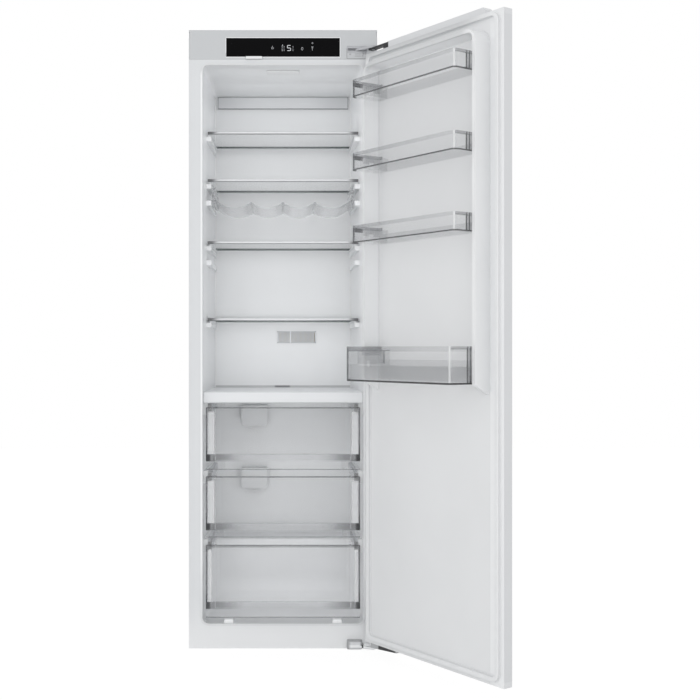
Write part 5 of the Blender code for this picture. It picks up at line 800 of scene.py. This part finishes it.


# Door racks
# Clear tubs with a thick lip, dropped over bosses on the dike. Their edges, slots and floors are painted near
# black, painted shade and reflection of the gaps behind; the lowest one holds a tinted tray that steps up at
# one end.
# The masks measure up from a tub's foot and down from its rim, and s and p are those of the door.
for number in range(1, 5):
    clear, start, place = blank(f"clear_rack_{number}")
    s, p, z = door_axes(place)
    (_, _, low), (_, _, high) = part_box(f"door_rack_{number}")
    up, down = z - low, z - high
    lowest = number == 4
    reach = 0.121 if lowest else 0.103
    near, far = (0.0615, 0.4785) if lowest else (0.065, 0.475)
    corner = 0.012
    middle, half = (near + far) / 2, (far - near) / 2
    past_side = (abs(s - middle) - (half - corner)) | 0.0
    past_front = (p - (reach - corner)) | 0.0
    outer = (past_side * past_side + past_front * past_front).maths("POWER", 0.5)
    skin_mask = outer.ease(corner - 0.0030, corner - 0.0014)
    near_corner = skin_mask * s.ease(near + 0.0075, near + 0.0050) * p.ease(reach - 0.014, reach - 0.010)
    far_corner_painted_highlight = skin_mask * abs(s - (far - 0.0042)).ease(0.0024, 0.0012)
    far_corner_painted_highlight = far_corner_painted_highlight * p.ease(reach - 0.014, reach - 0.012)
    line_top = 0.0052 if lowest else 0.0042
    floor_line = up.ease(line_top, line_top - 0.0012) * skin_mask * (1.0 if lowest else 0.90)
    floor_line = floor_line * (p.ease(reach - 0.022, reach - 0.014) | s.ease(middle, far))
    far_end = s.ease(far - 0.003, far - 0.002)
    slot_front, slot_back = 0.0610, 0.0515
    hook_line = abs(p - slot_front).ease(0.0022, 0.0012) | abs(p - slot_back).ease(0.0018, 0.0010)
    hook_line = far_end * (hook_line * 0.85 | p.ease(slot_front + 0.0005, slot_front - 0.0005) * 0.255)
    end_head = far_end * down.ease(-0.0085, -0.0070) * 0.40
    near_end = s.ease(near + 0.003, near + 0.002)
    wedge = near_end * p.ease(0.060, 0.066) * down.between(-0.0175, -0.0150, -0.0052, -0.0040)
    wedge = wedge * (0.0 if lowest else 0.9)
    near_hook = near_end * p.ease(0.066, 0.060)
    stripe_turns = 785.0
    stripes = (p * stripe_turns).sine().ease(0.2, 0.9)
    hook = near_hook * down.ease(-0.0250, -0.0230) * 0.08 * (0.6 + stripes * 1.6)
    below = near_hook * down.ease(-0.0240, -0.0260)
    lip_height = 0.0125 if lowest else 0.0085
    lip = down.ease(-lip_height - 0.001, -lip_height)
    painted_shade_and_reflection = floor_line | near_corner * 0.85 | hook_line | end_head | wedge | hook
    haze = noise(start, spread(place, (4.0, 4.0, 9.0)), 1.0, 3.0)
    tone = haze.mix((0.37, 0.38, 0.40), (0.43, 0.44, 0.46))
    # painted shade on the lip and on the near end of the upper racks, and a painted highlight down the far
    # corner
    tone = (lip * 0.6).mix(tone, (0.26, 0.27, 0.285))
    tone = (s.ease(near + 0.05, near) * z.ease(1.40, 1.50) * 0.6).mix(tone, (0.24, 0.25, 0.26))
    tone = far_corner_painted_highlight.mix(tone, (0.86, 0.87, 0.88))
    ripple = noise(start, spread(place, (14.0, 14.0, 40.0)), 1.0, 2.0)
    open_parts = up.ease(0.0030, 0.0024) * (1 - skin_mask) | below
    lip_alpha = (0.24 - 0.16 * s.ease(near, far)) * lip
    alpha = (0.065 if lowest else 0.085) - 0.07 * open_parts + lip_alpha + 0.45 * far_corner_painted_highlight
    clear_wall(start, tone, alpha, 0.06, painted_shade_and_reflection, 0.95, ripple)
    finish_node(clear, f"door_rack_{number}")

tray, start, place = blank("tinted_tray")
s, p, z = door_axes(place)
haze = noise(start, spread(place, (5.0, 5.0, 12.0)), 1.0, 3.0)
step = s.ease(0.1150, 0.1142)
tray_top = 0.8555
rim_line = z.ease(tray_top - 0.003, tray_top - 0.002) * step * 0.3
tall_end = step * s.ease(0.1108, 0.1120) * z.ease(0.8175, 0.8195)
end_edge = tall_end * (0.15 * p.ease(0.0225, 0.0245) + 0.45 * p.between(0.0225, 0.0235, 0.0275, 0.0285))
tone = haze.mix((0.24, 0.25, 0.265), (0.30, 0.31, 0.325))
tall = step * z.ease(0.8160, 0.8190)
surface(start, tone, 0.2, haze, 0.00003, Alpha=(0.082 - 0.05 * tall + rim_line + end_edge) & 1.0)
finish_node(tray, "rack_insert_4")


# Hinges
# Pressed steel: the cabinet's brackets are plated, the door's leaves are coated black, and a small white
# cover closes the lower arm's root.
plated, start, place = blank("plated_bracket")
x, _, z = place.axes()
grain = noise(start, spread(place, (60.0, 60.0, 500.0)), 1.0, 2.0)
top_plate = z.between(1.0, 1.2, 1.7050, 1.7060)
lower = z.ease(0.2, 0.1)
tone = grain.mix((0.42, 0.43, 0.45), (0.52, 0.53, 0.55))
tone = (lower | top_plate * 0.6).mix(tone, (0.66, 0.67, 0.69))
# painted shade where the lower housing rolls over at its top, foot and left end, a painted highlight across
# its middle, and painted shade in the gap and wedge beside the cover
roll = z.ease(0.0190, 0.0240) | x.ease(0.1960, 0.1850) | z.ease(0.0045, 0.0015)
tone = (lower * roll * 0.7).mix(tone, (0.22, 0.225, 0.23))
housing_painted_highlight = z.between(0.0040, 0.0080, 0.0110, 0.0150)
tone = (lower * housing_painted_highlight * (1 - roll)).mix(tone, (0.86, 0.87, 0.88))
gap_painted_shade = x.between(0.2240, 0.2250, 0.2280, 0.2290) | x.ease(0.2240, 0.2260) * z.ease(0.0165, 0.0180)
tone = (lower * gap_painted_shade).mix(tone, (0.012, 0.012, 0.014))
surface(start, tone, 0.36, grain, 0.00002, Metallic=0.35)
finish_node(plated, "hinge_bracket_top", "hinge_bracket_bottom")

coated, start, place = blank("black_coated_steel")
x, _, z = place.axes()
speck = noise(start, place, 900.0)
tone = speck.mix((0.012, 0.012, 0.014), (0.03, 0.03, 0.033))
root_top = x.ease(0.2700, 0.2660) * z.between(1.0, 1.2, 1.7055, 1.7070)
ends_low = (x.ease(0.2700, 0.2660) | x.ease(0.3080, 0.3120)) * z.ease(0.2, 0.1)
tone = (root_top | ends_low).mix(tone, (0.50, 0.51, 0.52))
surface(start, tone, 0.5, speck, 0.00004)
finish_node(coated, "hinge_arm_top", "hinge_arm_bottom")
finish_node(painted("hinge_cover_plastic", (0.90, 0.91, 0.92), 0.4, 600.0), "hinge_cover_bottom")


def fanned(rings, ends):
    """Points and triangles of the skin over a stack of rings, with a fan round a middle point at each end."""
    stacks, around = rings.shape[:2]
    quads = skin(stacks, around)
    column = np.arange(around)
    following = np.roll(column, -1)
    last = (stacks - 1) * around
    middle = np.full(around, stacks * around)
    faces = np.vstack([
        quads[:, [0, 1, 2]], quads[:, [0, 2, 3]],
        np.column_stack([following, column, middle]),
        np.column_stack([column + last, following + last, middle + 1]),
    ])
    return np.vstack([rings.reshape(-1, 3), ends]), faces


def heads(places, radius, height, axis, sign, around=24):
    """Points and triangles of low domed screw heads with a cross recess: rings at shares of the radius, whose
    height is a dome's less a four-armed dip near the middle, closed by a fan above and one underneath."""
    shares = np.array([1.0, 1.0, 0.85, 0.62, 0.45, 0.30, 0.15])
    dome = np.array([0.0, 0.45, 0.80, 0.96, 1.0, 1.0, 1.0])
    recess = 0.55
    share, turn = np.meshgrid(shares, np.linspace(0, 2 * np.pi, around, endpoint=False), indexing="ij")
    dip = np.where((share < 0.5) & (np.abs(np.sin(2 * turn)) < 0.5), recess, 0.0)
    across, upward = [i for i in range(3) if i != axis]
    rings = np.zeros((len(shares), around, 3))
    rings[..., across] = share * np.cos(turn) * radius
    rings[..., upward] = share * np.sin(turn) * radius
    rings[..., axis] = sign * (dome[:, None] - dip) * height
    ends = np.zeros((2, 3))
    ends[1, axis] = sign * height * (1 - recess)
    head, faces = fanned(rings, ends)
    points = head + np.asarray(places, float)[:, None, :]
    starts = np.arange(len(places))[:, None, None] * len(head)
    return points.reshape(-1, 3), (faces + starts).reshape(-1, 3)


def fixings(name, places, radius, height, axis, sign):
    """Screw heads as one piece that rides on the cabinet."""
    item = shell_mesh(name, *heads(places, radius, height, axis, sign))
    item.data.materials.append(screw_steel)
    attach(item, "cabinet")


screw_steel, start, place = blank("screw_steel")
grain = noise(start, place, 1500.0)
tone = grain.mix((0.46, 0.47, 0.48), (0.60, 0.61, 0.62))
surface(start, tone, 0.3 + 0.15 * grain, grain, 0.00002, Metallic=0.9)
screw_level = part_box("hinge_bracket_top")[0][2] + 0.0050
fixings(
    "bracket_screws", [(across, cabinet_front, screw_level) for across in (0.1925, 0.2305)],
    0.0030, 0.0011, 1, -1,
)
# The dark beads on the top bracket's plate are painted shade lines along its edges and recesses.
plate_left, plate_right, plate_low, plate_high = 0.1830, 0.2370, 1.6905, 1.7170
outline = [
    [(plate_left, plate_low), (plate_right, plate_low)], [(plate_left, plate_low), (plate_left, plate_high)],
    [(0.2060, 1.6975), (0.2250, 1.6975)], [(0.2060, 1.7035), (0.2250, 1.7035)],
    [(0.2285, 1.6950), (0.2285, 1.7080)], [(plate_right, plate_low), (plate_right, plate_high - 0.008)],
]
points, faces = beads(outline, 0.0012, cabinet_front - 0.0006, 0.0006)
plate = shell_mesh("bracket_outline", points, faces, False)
plate.data.materials.append(painted("bracket_outline_painted_shade", (0.30, 0.305, 0.31), 0.4, 700.0))
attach(plate, "cabinet")


# Refrigeration at the back
# A black enamelled compressor with a dark dish for melt water on its dome, a copper drier, a thin black
# condenser tube on stand-off clips, and in the duct the cooler's bare fins and the fan. The three turned
# pieces are smooth copies of their nodes, and the tube is bent anew.
enamel, start, place = blank("black_enamel")
*_, z = place.axes()
drip = noise(start, spread(place, (40.0, 40.0, 14.0)), 1.0, 3.0)
weld = z.between(0.0800, 0.0815, 0.0850, 0.0865)
tone = (drip | weld * 0.6).mix((0.010, 0.010, 0.011), (0.028, 0.028, 0.030))
surface(start, tone, 0.24 + 0.14 * drip, drip + weld * 2.0, 0.0002, **{"Coat Weight": 0.25})
finish_node(enamel, "compressor", "fan_motor")

copper, start, place = blank("copper_tube")
stain = noise(start, spread(place, (60.0, 60.0, 25.0)), 1.0, 3.0)
tone = stain.ease(0.35, 0.75).mix((0.78, 0.40, 0.24), (0.42, 0.20, 0.12))
surface(start, tone, 0.26 + 0.2 * stain, stain, 0.00003, Metallic=0.95)
finish_node(copper, "filter_drier")

fins, start, place = blank("bare_fins")
frost = noise(start, place, 300.0, 3.0)
tone = frost.mix((0.66, 0.67, 0.68), (0.80, 0.81, 0.82))
surface(start, tone, 0.35 + 0.2 * frost, frost, 0.00005, Metallic=0.9)
finish_node(fins, "evaporator")
finish_node(painted("dish_plastic", (0.035, 0.035, 0.038), 0.5, 400.0), "drip_tray")
finish_node(painted("rotor_plastic", (0.30, 0.31, 0.32), 0.45, 500.0), "fan_rotor")


def rounded(node):
    """A turned CAD node's own shape as a new piece: the points of its loose triangles, merged where they
    meet to a thousandth of a millimetre, with its sides shaded smooth between the sharp edges."""
    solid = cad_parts[node]
    points = np.zeros(len(solid.data.vertices) * 3)
    solid.data.vertices.foreach_get("co", points)
    corners = np.zeros(len(solid.data.loops), int)
    solid.data.loops.foreach_get("vertex_index", corners)
    points, merged = np.unique(points.reshape(-1, 3).round(6), axis=0, return_inverse=True)
    item = sheet_mesh(node + "_round", points, merged.reshape(-1)[corners].reshape(-1, 3), True)
    item.data.materials.append(solid.material_slots[0].material)
    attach(item, "cabinet")
    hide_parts(node)


rounded("compressor")
rounded("drip_tray")
rounded("filter_drier")


def tube(corners, trims, radius, steps=9, around=10):
    """Points and triangles of a bent tube. Each corner is replaced by a quarter ellipse that leaves its two
    straights a trim away: corner - trim (1 - sin t) come + trim (1 - cos t) go. A ring stands across the
    line at every point, on two vectors square to it, and a fan closes each end."""
    corners = np.asarray(corners, float)
    runs = np.diff(corners, axis=0)
    runs /= np.linalg.norm(runs, axis=1)[:, None]
    turn = np.linspace(0, np.pi / 2, steps)[None, :, None]
    trims = np.asarray(trims, float)[:, None, None]
    come, go = runs[:-1, None], runs[1:, None]
    bends = corners[1:-1, None] - trims * (1 - np.sin(turn)) * come + trims * (1 - np.cos(turn)) * go
    line = np.vstack([corners[:1], bends.reshape(-1, 3), corners[-1:]])
    ahead = np.gradient(line, axis=0)
    side = np.cross(ahead, (1.0, 1.0, -1.0))
    rise = np.cross(side, ahead)
    side /= np.linalg.norm(side, axis=1)[:, None]
    rise /= np.linalg.norm(rise, axis=1)[:, None]
    angle = np.linspace(0, 2 * np.pi, around, endpoint=False)[None, :, None]
    rings = line[:, None] + radius * (np.cos(angle) * side[:, None] + np.sin(angle) * rise[:, None])
    return fanned(rings, line[[0, -1]])


# The tube leaves the compressor's stub, climbs one side, and comes down in level passes to the drier.
low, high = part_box("condenser_coil")
tube_radius = 0.0026
outer, rear, top = np.asarray(high) - tube_radius
level = low[2] + tube_radius
pitch = 0.078
reach = 0.197
turns = np.arange(13)
turn_sides = np.repeat(np.where(turns % 2, reach, -reach), 2)[:-1]
turn_heights = (top - pitch * np.column_stack([turns, turns + 1])).reshape(-1)[:-1]
passes = np.column_stack([turn_sides, np.full(len(turn_sides), rear), turn_heights])
stub_x, drier_x = 0.110, -0.190
knee, offset_top, offset_foot = 0.303, 0.346, 0.318
drier_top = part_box("filter_drier")[1][2] + 0.0002
corners = np.vstack([
    [(stub_x, low[1], level), (stub_x, rear, level), (outer, rear, knee), (outer, rear, top)],
    passes,
    [(-reach, rear, offset_top), (drier_x, rear, offset_foot), (drier_x, rear, drier_top)],
])
trims = [0.016, 0.030, 0.018] + [pitch / 2 - 0.0005] * len(passes) + [0.010, 0.010]
coil = shell_mesh("coil_tube", *tube(corners, trims, tube_radius))
coil.data.materials.append(enamel)
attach(coil, "cabinet")
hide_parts("condenser_coil")

# Domed screws hold the rear panel down both sides and along its top.
panel_back = cabinet_front + 0.508
screw_side, screw_top = 0.2520, 1.755
fixings(
    "rear_screws",
    [(side * screw_side, panel_back, height) for side in (-1, 1) for height in (0.26, 0.62, 0.98, 1.34, 1.70)]
    + [(across, panel_back, screw_top) for across in (-0.12, 0.12)],
    0.0042, 0.0018, 1, 1,
)
